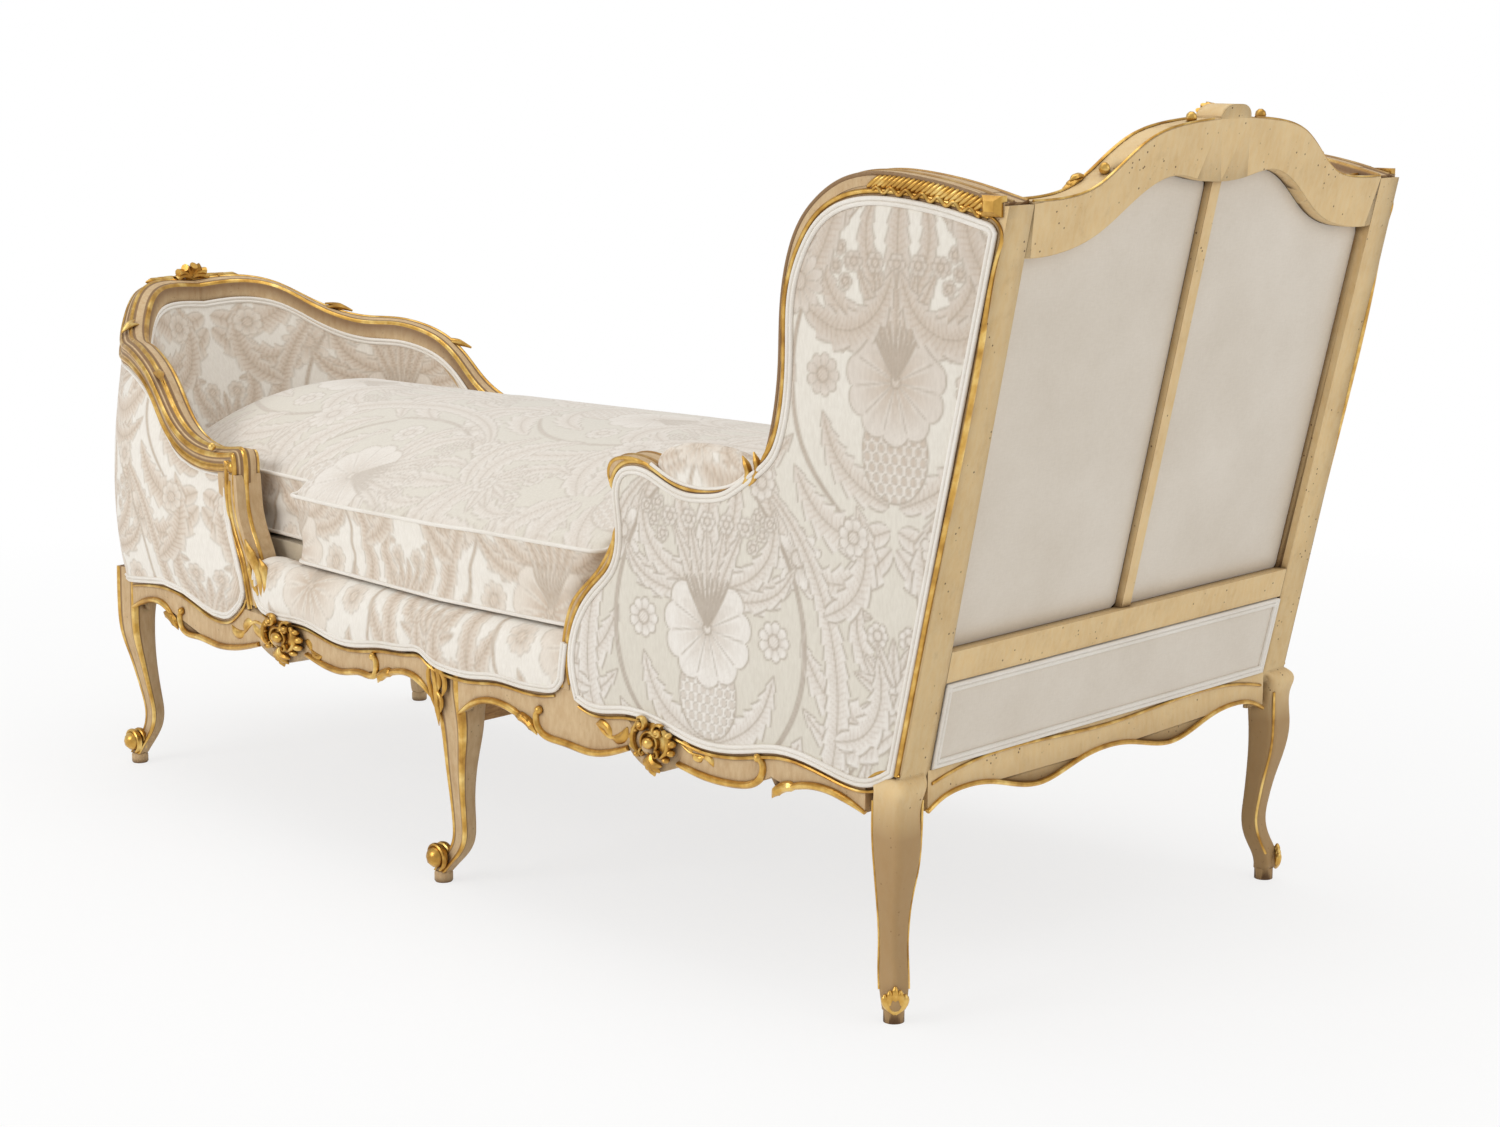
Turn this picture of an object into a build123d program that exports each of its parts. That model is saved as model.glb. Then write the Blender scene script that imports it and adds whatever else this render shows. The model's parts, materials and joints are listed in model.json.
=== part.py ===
from build123d import *
import math
import os

os.makedirs("parts", exist_ok=True)

# All sizes are in millimetres. The head end, with the high back, lies towards +X and the foot end
# towards -X. Left is the sitter's left, the -Y side. Left pieces are drawn and right ones mirrored.

# Plan of the frame: lengths are measured from the line through the middle pair of legs
head_span = 787.0
foot_span = 800.0
side_half_width = 384.0
end_half_width = 288.0
end_bow = 92.0
rail_thickness = 40.0

# Heights above the floor
ledge_height = 284.0
rail_top = 300.0
back_top = 914.0
crest_top = 992.0
ornament_top = 1010.0
deck_top = 384.0

# Rake of the back: how far its top leans behind its foot
back_rake_run = 138.0
post_depth = 42.0
post_width_low = 52.0
post_width_high = 42.0
back_rise = back_top - ledge_height
rake = back_rake_run / back_rise

# Foot end: the top rail runs round a half ellipse that flares outside the seat
foot_axis_share = 0.6775
foot_ellipse_reach = 485.0
foot_ellipse_set_in = 1.0
foot_rail_low = 513.0
foot_rail_high = 700.0
foot_rail_width = 44.0
foot_rail_depth = 34.0

# Joinery
tenon_thickness = 12.0
tenon_length = 24.0
tenon_fit = 0.15
tenon_root = 8.0
peg_diameter = 8.0
peg_fit = 0.1
peg_length = 30.0
seat_gap = 0.3
overrun = 60.0

# The axis of the foot end's half ellipse lies ahead of the end legs, between the sides
side_slant = side_half_width - end_half_width
foot_ellipse_offset = foot_span * foot_axis_share
foot_ellipse_half_width = (side_half_width - side_slant * foot_ellipse_offset / foot_span
                           - foot_ellipse_set_in)

# The rearmost and footmost places set the origin midway between them
head_reach = head_span + rake * (ornament_top - ledge_height)
foot_reach = foot_ellipse_offset + foot_ellipse_reach
x_middle = (foot_reach - head_reach) / 2
x_ledge = x_middle + head_span
x_end = x_middle - foot_span

# Unit directions of the slanting foot side, from the middle leg towards the end leg
side_length = math.hypot(foot_span, side_slant)
along = Vector(-foot_span / side_length, side_slant / side_length, 0)
inward = Vector(side_slant / side_length, foot_span / side_length, 0)
middle_corner = Vector(x_middle, -side_half_width, 0)

parts = {}
pegs = []


# Helpers for outlines, plates and mirrored pairs

def curve(points):
    """A straight edge through two points, or a smooth one through more."""
    if len(points) == 2:
        return Line(*points)
    return Spline(*points)


def wire_face(runs):
    """A face inside runs of points, where each run starts at the end of the one before."""
    return Face(Wire([curve(run) for run in runs]))


def close_runs(runs):
    """Adds the straight edges that join the runs and close the outline."""
    closed = []
    for index, run in enumerate(runs):
        closed.append(run)
        start = runs[(index + 1) % len(runs)][0]
        if (run[-1] - start).length > tenon_fit:
            closed.append([run[-1], start])
    return closed


def head_point(u, z, inset=0.0):
    """A point of the left head side: u from the middle legs, z above the floor."""
    return Vector(x_middle + u, -side_half_width + inset, z)


def foot_point(v, z, inset=0.0):
    """A point of the slanting left foot side: v along it from the middle leg."""
    return middle_corner + along * v + inward * inset + Vector(0, 0, z)


def head_plate(runs, inset, thickness):
    face = wire_face(close_runs([[head_point(u, z, inset) for u, z in run] for run in runs]))
    return extrude(face, amount=thickness, dir=(0, 1, 0))


def foot_plate(runs, inset, thickness):
    face = wire_face(close_runs([[foot_point(v, z, inset) for v, z in run] for run in runs]))
    return extrude(face, amount=thickness, dir=tuple(inward))


def level_plate(runs, low, high):
    """A plate of a plan outline between two heights."""
    face = wire_face(close_runs([[Vector(x, y, low) for x, y in run] for run in runs]))
    return extrude(face, amount=high - low, dir=(0, 0, 1))


def back_point(y, z, inset=0.0):
    """A point of the raked plane behind the back, or inset in front of it."""
    return Vector(x_ledge + rake * (z - ledge_height) - inset, y, z)


def back_plate(runs, inset, thickness):
    """A plate in the raked back: its faces stay parallel to the rear plane."""
    face = wire_face(close_runs([[back_point(y, z, inset) for y, z in run] for run in runs]))
    return extrude(face, amount=thickness, dir=(-1, 0, 0))


def mirrored(shape):
    return mirror(shape, about=Plane.XZ)


def at_side(shares, span, base, rise):
    """Turns shares of a span and of a rise into side-view points."""
    return [(span * u_share, base + rise * z_share) for u_share, z_share in shares]


def solid_of(shape):
    """The single solid of a shape that a cut or a union has wrapped."""
    found = shape.solids()
    return max(found, key=lambda solid: solid.volume)


# Mortise and tenon joints, pegged where a peg is given

def tenon_box(place, width, height, length, grow=0.0):
    return place * Box(width + 2 * grow, height + 2 * grow, length + tenon_root + grow,
                       align=(Align.CENTER, Align.CENTER, Align.MIN)).moved(
        Location((0, 0, -tenon_root)))


def join(piece, carrier, place, height, peg_side=None, centred=False, length=tenon_length):
    """Adds a tenon to the piece along the place's Z, cuts its mortise and pegs the two.

    A centred piece spans the middle and gets the mirrored tenon for its other end as well."""
    tenon = tenon_box(place, tenon_thickness, height, length)
    cutter = tenon_box(place, tenon_thickness, height, length, tenon_fit)
    parts[carrier] = solid_of(parts[carrier] - cutter)
    parts[piece] = solid_of(parts[piece] + tenon)
    if centred:
        parts[piece] = solid_of(parts[piece] + mirrored(tenon))
    if peg_side is not None:
        middle = place.origin + place.z_dir * (length / 2)
        drill(piece, carrier, Plane(middle, z_dir=peg_side), centred)


def drill(piece, carrier, place, centred):
    """Bores a peg hole through a tenon and its cheeks and drives the peg."""
    reach = peg_length / 2
    hole = place * Cylinder(peg_diameter / 2 + peg_fit, peg_length + 2 * peg_fit)
    parts[piece] = solid_of(parts[piece] - hole)
    parts[carrier] = solid_of(parts[carrier] - hole)
    if centred:
        parts[piece] = solid_of(parts[piece] - mirrored(hole))
    pegs.append(place * Cylinder(peg_diameter / 2, 2 * reach))


# Cabriole legs: rows of shares of the leg's height, of the knee's width outwards along X and
# along Y from the middle of the foot, and of the knee's width for the side of the square section
knee_width = 50.0
foot_block_diameter = 24.0
foot_block_height = 14.0
scroll_radius = 11.0
leg_corner_share = 0.24
overlap = 1.0
scroll_out_share = 0.7
rear_foot_lead = 14.0
rear_foot_half = 374.0
middle_foot_half = 366.0
end_foot_half = 276.0
rear_foot = (x_ledge - rear_foot_lead, rear_foot_half)
middle_foot = (x_middle, middle_foot_half)
end_foot = (x_end, end_foot_half)

rear_leg_shares = [
    (1.00, -0.22, -0.26, 1.00), (0.90, 0.02, -0.04, 0.90), (0.75, 0.02, -0.02, 0.88),
    (0.63, 0.00, -0.04, 0.80), (0.48, -0.12, -0.12, 0.62), (0.37, -0.19, -0.19, 0.54),
    (0.29, -0.22, -0.22, 0.52), (0.21, -0.16, -0.16, 0.54), (0.13, -0.02, -0.02, 0.54),
    (0.05, 0.00, 0.00, 0.44)]
middle_leg_shares = [
    (1.00, -0.62, -0.14, 1.00), (0.96, -0.62, -0.14, 1.00), (0.92, -0.62, -0.14, 1.00),
    (0.88, -0.62, -0.14, 1.00), (0.73, -0.70, -0.16, 0.88),
    (0.55, -0.60, -0.20, 0.68), (0.37, -0.56, -0.21, 0.50), (0.26, -0.52, -0.20, 0.50),
    (0.19, -0.40, -0.14, 0.52), (0.12, -0.16, -0.06, 0.54), (0.05, 0.00, 0.00, 0.44)]
end_leg_shares = [
    (1.00, 0.06, -0.22, 0.90), (0.80, 0.02, -0.14, 0.86), (0.67, -0.06, -0.10, 0.78),
    (0.55, -0.16, -0.16, 0.63), (0.43, -0.23, -0.23, 0.51), (0.34, -0.26, -0.26, 0.46),
    (0.26, -0.26, -0.26, 0.45), (0.19, -0.18, -0.18, 0.46), (0.12, -0.04, -0.04, 0.48),
    (0.05, 0.00, 0.00, 0.44)]


def leg(foot, outward_x, shares, height):
    """A left cabriole leg, from its turned block and scroll up to its square head."""
    sections = []
    for z_share, x_share, y_share, side_share in shares:
        side = knee_width * side_share
        centre_x = foot[0] + outward_x * knee_width * x_share
        centre_y = -foot[1] - knee_width * y_share
        outline = RectangleRounded(side, side, side * leg_corner_share)
        sections.append(Location((centre_x, centre_y, height * z_share)) * outline)
    sections.reverse()
    shank = loft(sections)
    block = Cylinder(foot_block_diameter / 2, foot_block_height + overlap,
                     align=(Align.CENTER, Align.CENTER, Align.MIN))
    scroll_out = scroll_radius * scroll_out_share
    scroll = Sphere(scroll_radius)
    scroll_z = foot_block_height + scroll_radius
    shape = shank + Location((foot[0], -foot[1], 0)) * block
    shape = shape + Location((foot[0] + outward_x * scroll_out, -foot[1] - scroll_out,
                              scroll_z)) * scroll
    return solid_of(shape)


# Rear legs and back posts, each one piece of wood from the floor to the top of the back
post_lap_share = 0.3


def rear_post():
    low_rear = back_point(0, ledge_height).X
    high_rear = back_point(0, back_top).X
    head_face = Location(((high_rear - post_depth / 2), -side_half_width + post_width_high / 2,
                          back_top))
    rise = back_top - ledge_height + knee_width * post_lap_share
    foot_face = Location((low_rear - post_depth / 2 - rake * knee_width * post_lap_share,
                          -side_half_width + post_width_low / 2, back_top - rise))
    post = loft([foot_face * Rectangle(post_depth, post_width_low),
                 head_face * Rectangle(post_depth, post_width_high)])
    return solid_of(post + leg(rear_foot, 1, rear_leg_shares, ledge_height))


parts["back_post_left"] = rear_post()
parts["middle_leg_left"] = leg(middle_foot, -1, middle_leg_shares, rail_top)
parts["end_leg_left"] = leg(end_foot, -1, end_leg_shares, rail_top)

# Faces of the leg heads that the rails butt against
rear_head_x = rear_foot[0] + knee_width * (rear_leg_shares[0][1] - rear_leg_shares[0][3] / 2)
middle_head_x = middle_foot[0] - knee_width * middle_leg_shares[0][1]
middle_head_half = knee_width * middle_leg_shares[0][3] / 2
end_head_x = end_foot[0] - knee_width * end_leg_shares[0][1]
end_head_half = knee_width * end_leg_shares[0][3] / 2

# Seat rails with a serpentine lower edge: shares along the rail and of the ledge's height
head_apron_shares = [
    [(0.000, 0.830), (0.050, 0.905), (0.123, 0.923), (0.214, 0.849)],
    [(0.214, 0.849), (0.285, 0.817), (0.358, 0.803), (0.452, 0.863)],
    [(0.452, 0.863), (0.514, 0.789), (0.574, 0.845)],
    [(0.574, 0.845), (0.637, 0.820), (0.703, 0.817), (0.791, 0.887)],
    [(0.791, 0.887), (0.805, 0.838)],
    [(0.805, 0.838), (0.877, 0.887), (0.946, 0.877), (1.000, 0.831)]]
foot_apron_shares = [
    [(0.000, 0.880), (0.035, 0.940), (0.085, 0.955), (0.135, 0.940), (0.154, 0.900)],
    [(0.154, 0.900), (0.205, 0.890), (0.260, 0.868), (0.318, 0.868), (0.381, 0.895)],
    [(0.381, 0.895), (0.458, 0.820), (0.540, 0.872)],
    [(0.540, 0.872), (0.616, 0.820), (0.686, 0.800), (0.758, 0.810), (0.830, 0.825)],
    [(0.830, 0.825), (0.871, 0.915), (0.940, 0.920), (1.000, 0.860)]]


def rail_runs(start, end, shares):
    """Side-view runs of a rail: its shaped lower edge, then straight up and back along the top."""
    runs = []
    for run in shares:
        runs.append([(start + (end - start) * t_share, ledge_height * z_share)
                     for t_share, z_share in run])
    runs.append([(end, rail_top), (start, rail_top)])
    return runs


head_rail_start = middle_head_x + middle_head_half - x_middle
head_rail_end = rear_head_x - x_middle
side_rail_head = head_plate(rail_runs(head_rail_start, head_rail_end, head_apron_shares),
                            0, rail_thickness)

slant_scale = side_length / foot_span
foot_rail_start = -(middle_head_x - middle_head_half - x_middle) * slant_scale
foot_rail_end = (x_middle - end_head_x - end_head_half) * slant_scale
side_rail_foot = foot_plate(rail_runs(foot_rail_start, foot_rail_end, foot_apron_shares),
                            0, rail_thickness)
# The slanted ends are trimmed square to the leg heads, clear of the knee's slight swell
knee_swell = 0.3
head_block = Location((middle_head_x, 0, 0)) * Box(2 * (middle_head_half + knee_swell),
                                                     4 * side_half_width, 4 * rail_top)
end_block = Location((end_head_x - overrun, 0, 0)) * Box(2 * (end_head_half + overrun),
                                                           4 * side_half_width, 4 * rail_top)
side_rail_foot = solid_of(side_rail_foot - head_block - end_block)
parts["side_rail_head_left"] = solid_of(side_rail_head - parts["middle_leg_left"])
parts["side_rail_foot_left"] = side_rail_foot

# The end rail follows a rounded bow from one end leg to the other
bow_power = 3.0
bow_half_share = 1.04
bow_start_share = 0.13
bow_centre_x = x_end + (foot_span * bow_start_share)
bow_reach = bow_centre_x - x_end + end_bow
bow_half_width = end_half_width * bow_half_share
end_apron_shares = [
    [(-1.0, 0.880), (-0.86, 0.925), (-0.62, 0.860), (-0.36, 0.815), (-0.18, 0.865)],
    [(-0.18, 0.865), (0.0, 0.790), (0.18, 0.865)],
    [(0.18, 0.865), (0.36, 0.815), (0.62, 0.860), (0.86, 0.925), (1.0, 0.880)]]


def bow_x(y, inset=0.0):
    """Outer X of the bowed end at a distance y from the middle."""
    share = min(1.0, abs(y) / (bow_half_width - inset))
    return bow_centre_x - (bow_reach - inset) * (1 - share ** bow_power) ** (1 / bow_power)


def bow_run(half, inset, steps=6):
    """Plan points of the bow between -half and +half."""
    return [(bow_x(half * k / steps, inset), half * k / steps) for k in range(-steps, steps + 1)]


end_inner_y = end_foot[1] + knee_width * (end_leg_shares[0][2] - end_leg_shares[0][3] / 2)
end_rail = level_plate([bow_run(end_inner_y, 0), bow_run(end_inner_y, rail_thickness)[::-1]],
                       0, rail_top)
front_shape = []
for run in end_apron_shares:
    front_shape.append([Vector(x_end - overrun - end_bow, end_inner_y * t_share,
                               ledge_height * z_share) for t_share, z_share in run])
front_shape.append([Vector(x_end - overrun - end_bow, end_inner_y, rail_top),
                    Vector(x_end - overrun - end_bow, -end_inner_y, rail_top)])
front_face = wire_face(close_runs(front_shape))
parts["end_seat_rail"] = solid_of(end_rail & extrude(front_face, amount=foot_span, dir=(1, 0, 0)))

# The rear rail stands under the ledge, between the rear legs
rear_apron_shares = [
    (-1.0, 0.835), (-0.93, 0.872), (-0.81, 0.893), (-0.66, 0.878), (-0.51, 0.832),
    (-0.39, 0.812), (-0.27, 0.832), (-0.13, 0.868), (0.0, 0.880), (0.13, 0.868), (0.27, 0.832),
    (0.39, 0.812), (0.51, 0.832), (0.66, 0.878), (0.81, 0.893), (0.93, 0.872), (1.0, 0.835)]
rear_inner_y = rear_foot[1] + knee_width * (rear_leg_shares[0][2] - rear_leg_shares[0][3] / 2)
rear_runs = [[Vector(x_ledge, rear_inner_y * t_share, ledge_height * z_share)
              for t_share, z_share in rear_apron_shares],
             [Vector(x_ledge, rear_inner_y, ledge_height),
              Vector(x_ledge, -rear_inner_y, ledge_height)]]
rear_rail = extrude(wire_face(close_runs(rear_runs)), amount=rail_thickness, dir=(-1, 0, 0))
parts["rear_seat_rail"] = solid_of(rear_rail - parts["back_post_left"]
                                   - mirrored(parts["back_post_left"]))

# Sides of the high back: arm support, arm rail, wing stile and wing top rail, drawn as shares
# of the head's length and of the back's rise
support_front_shares = [
    (0.313, 0.0254), (0.315, 0.092), (0.325, 0.161), (0.342, 0.207), (0.382, 0.256),
    (0.424, 0.323), (0.440, 0.383), (0.432, 0.432)]
support_rear_shares = [
    (0.500, 0.432), (0.508, 0.383), (0.490, 0.310), (0.450, 0.235), (0.420, 0.180),
    (0.395, 0.120), (0.385, 0.0254)]
knuckle_shares = [
    (0.432, 0.432), (0.421, 0.460), (0.426, 0.484), (0.446, 0.497), (0.478, 0.499),
    (0.510, 0.490), (0.548, 0.469), (0.596, 0.457), (0.645, 0.460), (0.686, 0.476),
    (0.715, 0.500)]
wing_front_shares = [
    (0.715, 0.500), (0.733, 0.520), (0.747, 0.556), (0.760, 0.620), (0.768, 0.700),
    (0.771, 0.800), (0.779, 0.868), (0.786, 0.900)]
wing_rear_shares = [
    (0.848, 0.900), (0.836, 0.840), (0.830, 0.740), (0.824, 0.650), (0.808, 0.560),
    (0.795, 0.500)]
wing_top_shares = [
    (0.786, 0.900), (0.811, 0.963), (0.843, 1.003), (0.883, 1.032), (0.930, 1.046),
    (1.008, 1.044), (1.076, 1.032), (1.170, 1.004)]
wing_under_shares = [
    (1.170, 0.950), (1.060, 0.970), (0.990, 0.978), (0.930, 0.972), (0.880, 0.945),
    (0.848, 0.900)]


def on_head(shares):
    return at_side(shares, head_span, ledge_height, back_rise)


def head_z(z_share):
    return ledge_height + back_rise * z_share


arm_under_share = 0.400
support_top_share = 0.432
stile_foot_share = 0.500
stile_head_share = 0.900

# Everything behind the front of the posts, for trimming what butts against them
post_front = back_plate([[(-2 * side_half_width, 0), (2 * side_half_width, 0),
                          (2 * side_half_width, 2 * back_top),
                          (-2 * side_half_width, 2 * back_top)]],
                        -2 * back_rake_run, 2 * back_rake_run + post_depth)

arm_support = head_plate([on_head(support_front_shares), on_head(support_rear_shares)],
                         0, rail_thickness)
arm_rail = head_plate([on_head(knuckle_shares),
                       on_head([(1.2, stile_foot_share), (1.2, arm_under_share)]),
                       on_head([(0.565, arm_under_share), (0.520, support_top_share)]),
                       on_head([(0.520, support_top_share), (0.432, support_top_share)])],
                      0, rail_thickness)
wing_stile = head_plate([on_head(wing_front_shares), on_head(wing_rear_shares)],
                        0, rail_thickness)
wing_top_rail = head_plate([on_head(wing_top_shares), on_head(wing_under_shares)],
                           0, rail_thickness)
parts["arm_support_left"] = solid_of(arm_support)
parts["arm_rail_left"] = solid_of(arm_rail - post_front)
parts["wing_stile_left"] = solid_of(wing_stile)
parts["wing_top_rail_left"] = solid_of(wing_top_rail - post_front)

# Crest rail, cross rail and centre stile of the back, as shares of the half width between the
# posts and of the back's rise
crest_thickness = 36.0
cross_rail_low_share = 0.162
cross_rail_high_share = 0.220
stile_width = 19.0
crest_top_shares = [
    (-1.00, 1.005), (-0.80, 1.008), (-0.68, 1.024), (-0.57, 1.060), (-0.44, 1.100),
    (-0.28, 1.120), (-0.12, 1.127), (0.00, 1.130), (0.12, 1.127), (0.28, 1.120),
    (0.44, 1.100), (0.57, 1.060), (0.68, 1.024), (0.80, 1.008), (1.00, 1.005)]
crest_under_shares = [
    (1.00, 0.910), (0.80, 0.915), (0.64, 0.940), (0.50, 0.985), (0.38, 1.020), (0.27, 1.032),
    (0.14, 1.022), (0.00, 1.016), (-0.14, 1.022), (-0.27, 1.032), (-0.38, 1.020),
    (-0.50, 0.985), (-0.64, 0.940), (-0.80, 0.915), (-1.00, 0.910)]
post_inner_high = side_half_width - post_width_high
post_inner_low = side_half_width - post_width_low
ornament_half_width = 30.0
ornament_shares = [(-1.00, 0.00), (-0.86, 0.62), (-0.45, 0.96), (0.00, 1.00), (0.45, 0.96),
                   (0.86, 0.62), (1.00, 0.00)]


def post_inner(z):
    """Half width between the posts at a height."""
    return post_inner_low + (post_inner_high - post_inner_low) * (z - ledge_height) / back_rise


def on_back(shares, half_width):
    return [(half_width * y_share, head_z(z_share)) for y_share, z_share in shares]


crest_rail = back_plate([on_back(crest_top_shares, post_inner_high),
                         on_back(crest_under_shares, post_inner_high)], 0, crest_thickness)
ornament_rise = ornament_top - crest_top
shell_runs = [[(ornament_half_width * y_share, crest_top + ornament_rise * z_share)
               for y_share, z_share in ornament_shares],
              [(ornament_half_width, crest_top - ornament_half_width),
               (-ornament_half_width, crest_top - ornament_half_width)]]
crest_shell = back_plate(shell_runs, 0, crest_thickness)
parts["crest_rail"] = solid_of(crest_rail + crest_shell - parts["back_post_left"]
                               - mirrored(parts["back_post_left"]))

cross_low = head_z(cross_rail_low_share)
cross_high = head_z(cross_rail_high_share)
cross_half_low = post_inner(cross_low)
cross_half_high = post_inner(cross_high)
back_cross = back_plate([[(-cross_half_low, cross_low), (cross_half_low, cross_low)],
                         [(cross_half_high, cross_high), (-cross_half_high, cross_high)]],
                        0, crest_thickness)
parts["back_cross_rail"] = solid_of(back_cross)
stile_inset = 8.0
under_crest = head_z(crest_under_shares[7][1])
centre_stile = back_plate([[(-stile_width / 2, cross_high), (stile_width / 2, cross_high)],
                           [(stile_width / 2, crest_top), (-stile_width / 2, crest_top)]],
                          stile_inset, crest_thickness - stile_inset)
parts["back_centre_stile"] = solid_of(centre_stile - parts["crest_rail"])

# Foot end: every section of its top rail and coverings stands in an upright plane through one
# axis, turned from the side (0) to the end (1) in shares of a quarter turn. The second share
# is the height of the rail between its low and high places.
foot_axis_x = x_middle - foot_ellipse_offset
rail_sections = [
    (0.00, 0.00), (0.13, 0.04), (0.215, 0.17), (0.287, 0.36), (0.358, 0.51), (0.437, 0.60),
    (0.51, 0.64), (0.60, 0.65), (0.67, 0.70), (0.73, 0.79), (0.81, 0.94), (0.88, 1.00),
    (1.00, 0.985)]
crest_split_index = 8
foot_knuckle_share = 0.592
foot_cover_thickness = 9.0
foot_cover_bulge = 20.0
foot_cover_inset = 7.0
foot_pad_thickness = 34.0
foot_pad_inset = 20.0


def rail_height(height_share):
    return foot_rail_low + (foot_rail_high - foot_rail_low) * height_share


def rail_radius(angle):
    """Distance from the axis to the outer edge of the top rail, an ellipse in plan."""
    return 1 / math.hypot(math.sin(angle) / foot_ellipse_reach,
                          math.cos(angle) / foot_ellipse_half_width)


def seat_inside(x, y):
    """Whether a plan point lies inside the outer line of the seat rails at the foot end."""
    side_y = side_half_width - side_slant * (x_middle - x) / foot_span
    if y > side_y:
        return False
    if x > bow_centre_x:
        return True
    return ((bow_centre_x - x) / bow_reach) ** bow_power + (y / bow_half_width) ** bow_power < 1


seat_line_fit = 0.01


def seat_radius(angle):
    """Distance from the axis to the outer line of the seat rails, by halving."""
    low = 0.0
    high = foot_ellipse_reach
    while high - low > seat_line_fit:
        middle = (low + high) / 2
        if seat_inside(foot_axis_x - middle * math.sin(angle), middle * math.cos(angle)):
            low = middle
        else:
            high = middle
    return low


def radial(angle, radius, z):
    return Vector(foot_axis_x - radius * math.sin(angle), -radius * math.cos(angle), z)


def section_at(angle, corners):
    """A four-sided section in the upright plane at an angle, from (radius, z) corners."""
    points = [radial(angle, radius, z) for radius, z in corners]
    return Face(Wire(Polyline(*points, close=True)))


def bowed_section(angle, low, high, thickness, bulge):
    """A thin upright section whose outer and inner faces bow outwards between two places."""
    middle = ((low[0] + high[0]) / 2 + bulge, (low[1] + high[1]) / 2)
    outer = [radial(angle, radius, z) for radius, z in (low, middle, high)]
    inner = [radial(angle, radius - thickness, z) for radius, z in (high, middle, low)]
    edges = [ThreePointArc(*outer), Line(outer[-1], inner[0]),
             ThreePointArc(*inner), Line(inner[-1], outer[0])]
    return Face(Wire(edges))


def quarter(share):
    return share * math.pi / 2


def rail_corners(angle, height_share):
    outer = rail_radius(angle)
    top = rail_height(height_share)
    return [(outer, top - foot_rail_depth), (outer, top),
            (outer - foot_rail_width, top), (outer - foot_rail_width, top - foot_rail_depth)]


def straight_section(v, outer_inset, inner_inset, low, high):
    """A four-sided section across the straight side, ahead of the curved end."""
    points = [foot_point(v, low, outer_inset), foot_point(v, high, outer_inset),
              foot_point(v, high, inner_inset), foot_point(v, low, inner_inset)]
    return Face(Wire(Polyline(*points, close=True)))


# The rail's left length starts in a knuckle over the arm support
knuckle_v = foot_span * foot_knuckle_share
left_sections = [straight_section(knuckle_v, 0, foot_rail_width,
                                  foot_rail_low - foot_rail_depth, foot_rail_low)]
for turn, height_share in rail_sections[:crest_split_index + 1]:
    angle = quarter(turn)
    left_sections.append(section_at(angle, rail_corners(angle, height_share)))
parts["foot_rail_left"] = solid_of(loft(left_sections))

crest_stations = rail_sections[crest_split_index:]
crest_turns = list(crest_stations)
for turn, height_share in crest_stations[-2::-1]:
    crest_turns.append((2 - turn, height_share))
crest_sections = []
for turn, height_share in crest_turns:
    angle = quarter(turn)
    crest_sections.append(section_at(angle, rail_corners(angle, height_share)))
parts["foot_crest_rail"] = solid_of(loft(crest_sections))

# The support under the knuckle: shares of the foot span and of the rise from seat rail to rail
foot_support_front_shares = [
    (0.524, 0.0), (0.538, 0.207), (0.550, 0.333), (0.572, 0.479), (0.586, 0.624),
    (0.589, 0.735), (0.592, 0.84)]
foot_support_rear_shares = [
    (0.652, 0.84), (0.650, 0.700), (0.640, 0.560), (0.620, 0.400), (0.600, 0.200), (0.592, 0.0)]
foot_rise = foot_rail_low - rail_top
support_head = foot_rail_low - foot_rail_depth


def on_foot(shares):
    return [(foot_span * v_share, min(rail_top + foot_rise * z_share, support_head))
            for v_share, z_share in shares]


foot_support = foot_plate([on_foot(foot_support_front_shares),
                           on_foot(foot_support_rear_shares)], 0, rail_thickness)
parts["foot_arm_support_left"] = solid_of(foot_support - parts["foot_rail_left"])

# A cross rail ties the two middle legs under the seat
cross_rail_height = 40.0
cross_rail_low = 216.0
cross_rail_thickness = 30.0
middle_inner_y = middle_foot[1] + knee_width * (middle_leg_shares[0][2]
                                                - middle_leg_shares[0][3] / 2)
parts["seat_cross_rail"] = Location((middle_head_x, 0, cross_rail_low + cross_rail_height / 2)
                                    ) * Box(cross_rail_thickness, 2 * middle_inner_y,
                                            cross_rail_height)

# Tenons: each place has its origin at the shoulder, its Z into the carrier and its Y up or
# along the tenon's height
rail_tenon_height = 34.0
rail_tenon_z = ledge_height - rail_tenon_height / 2 - tenon_thickness
rail_tenon_share = 0.62
rail_tenon_inset = rail_thickness * rail_tenon_share
end_tenon_share = 0.18
support_tenon_width = 30.0
short_tenon_share = 0.8
stub_tenon_share = 0.6
low_tenon_share = 0.8
back_tenon_height = 26.0
up = Vector(0, 0, 1)


def toward(origin, z_dir, y_dir=up):
    """A joint place: Z into the carrier and Y along the tenon's height."""
    return Plane(origin, x_dir=Vector(*y_dir).cross(Vector(*z_dir)), z_dir=z_dir)


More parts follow.
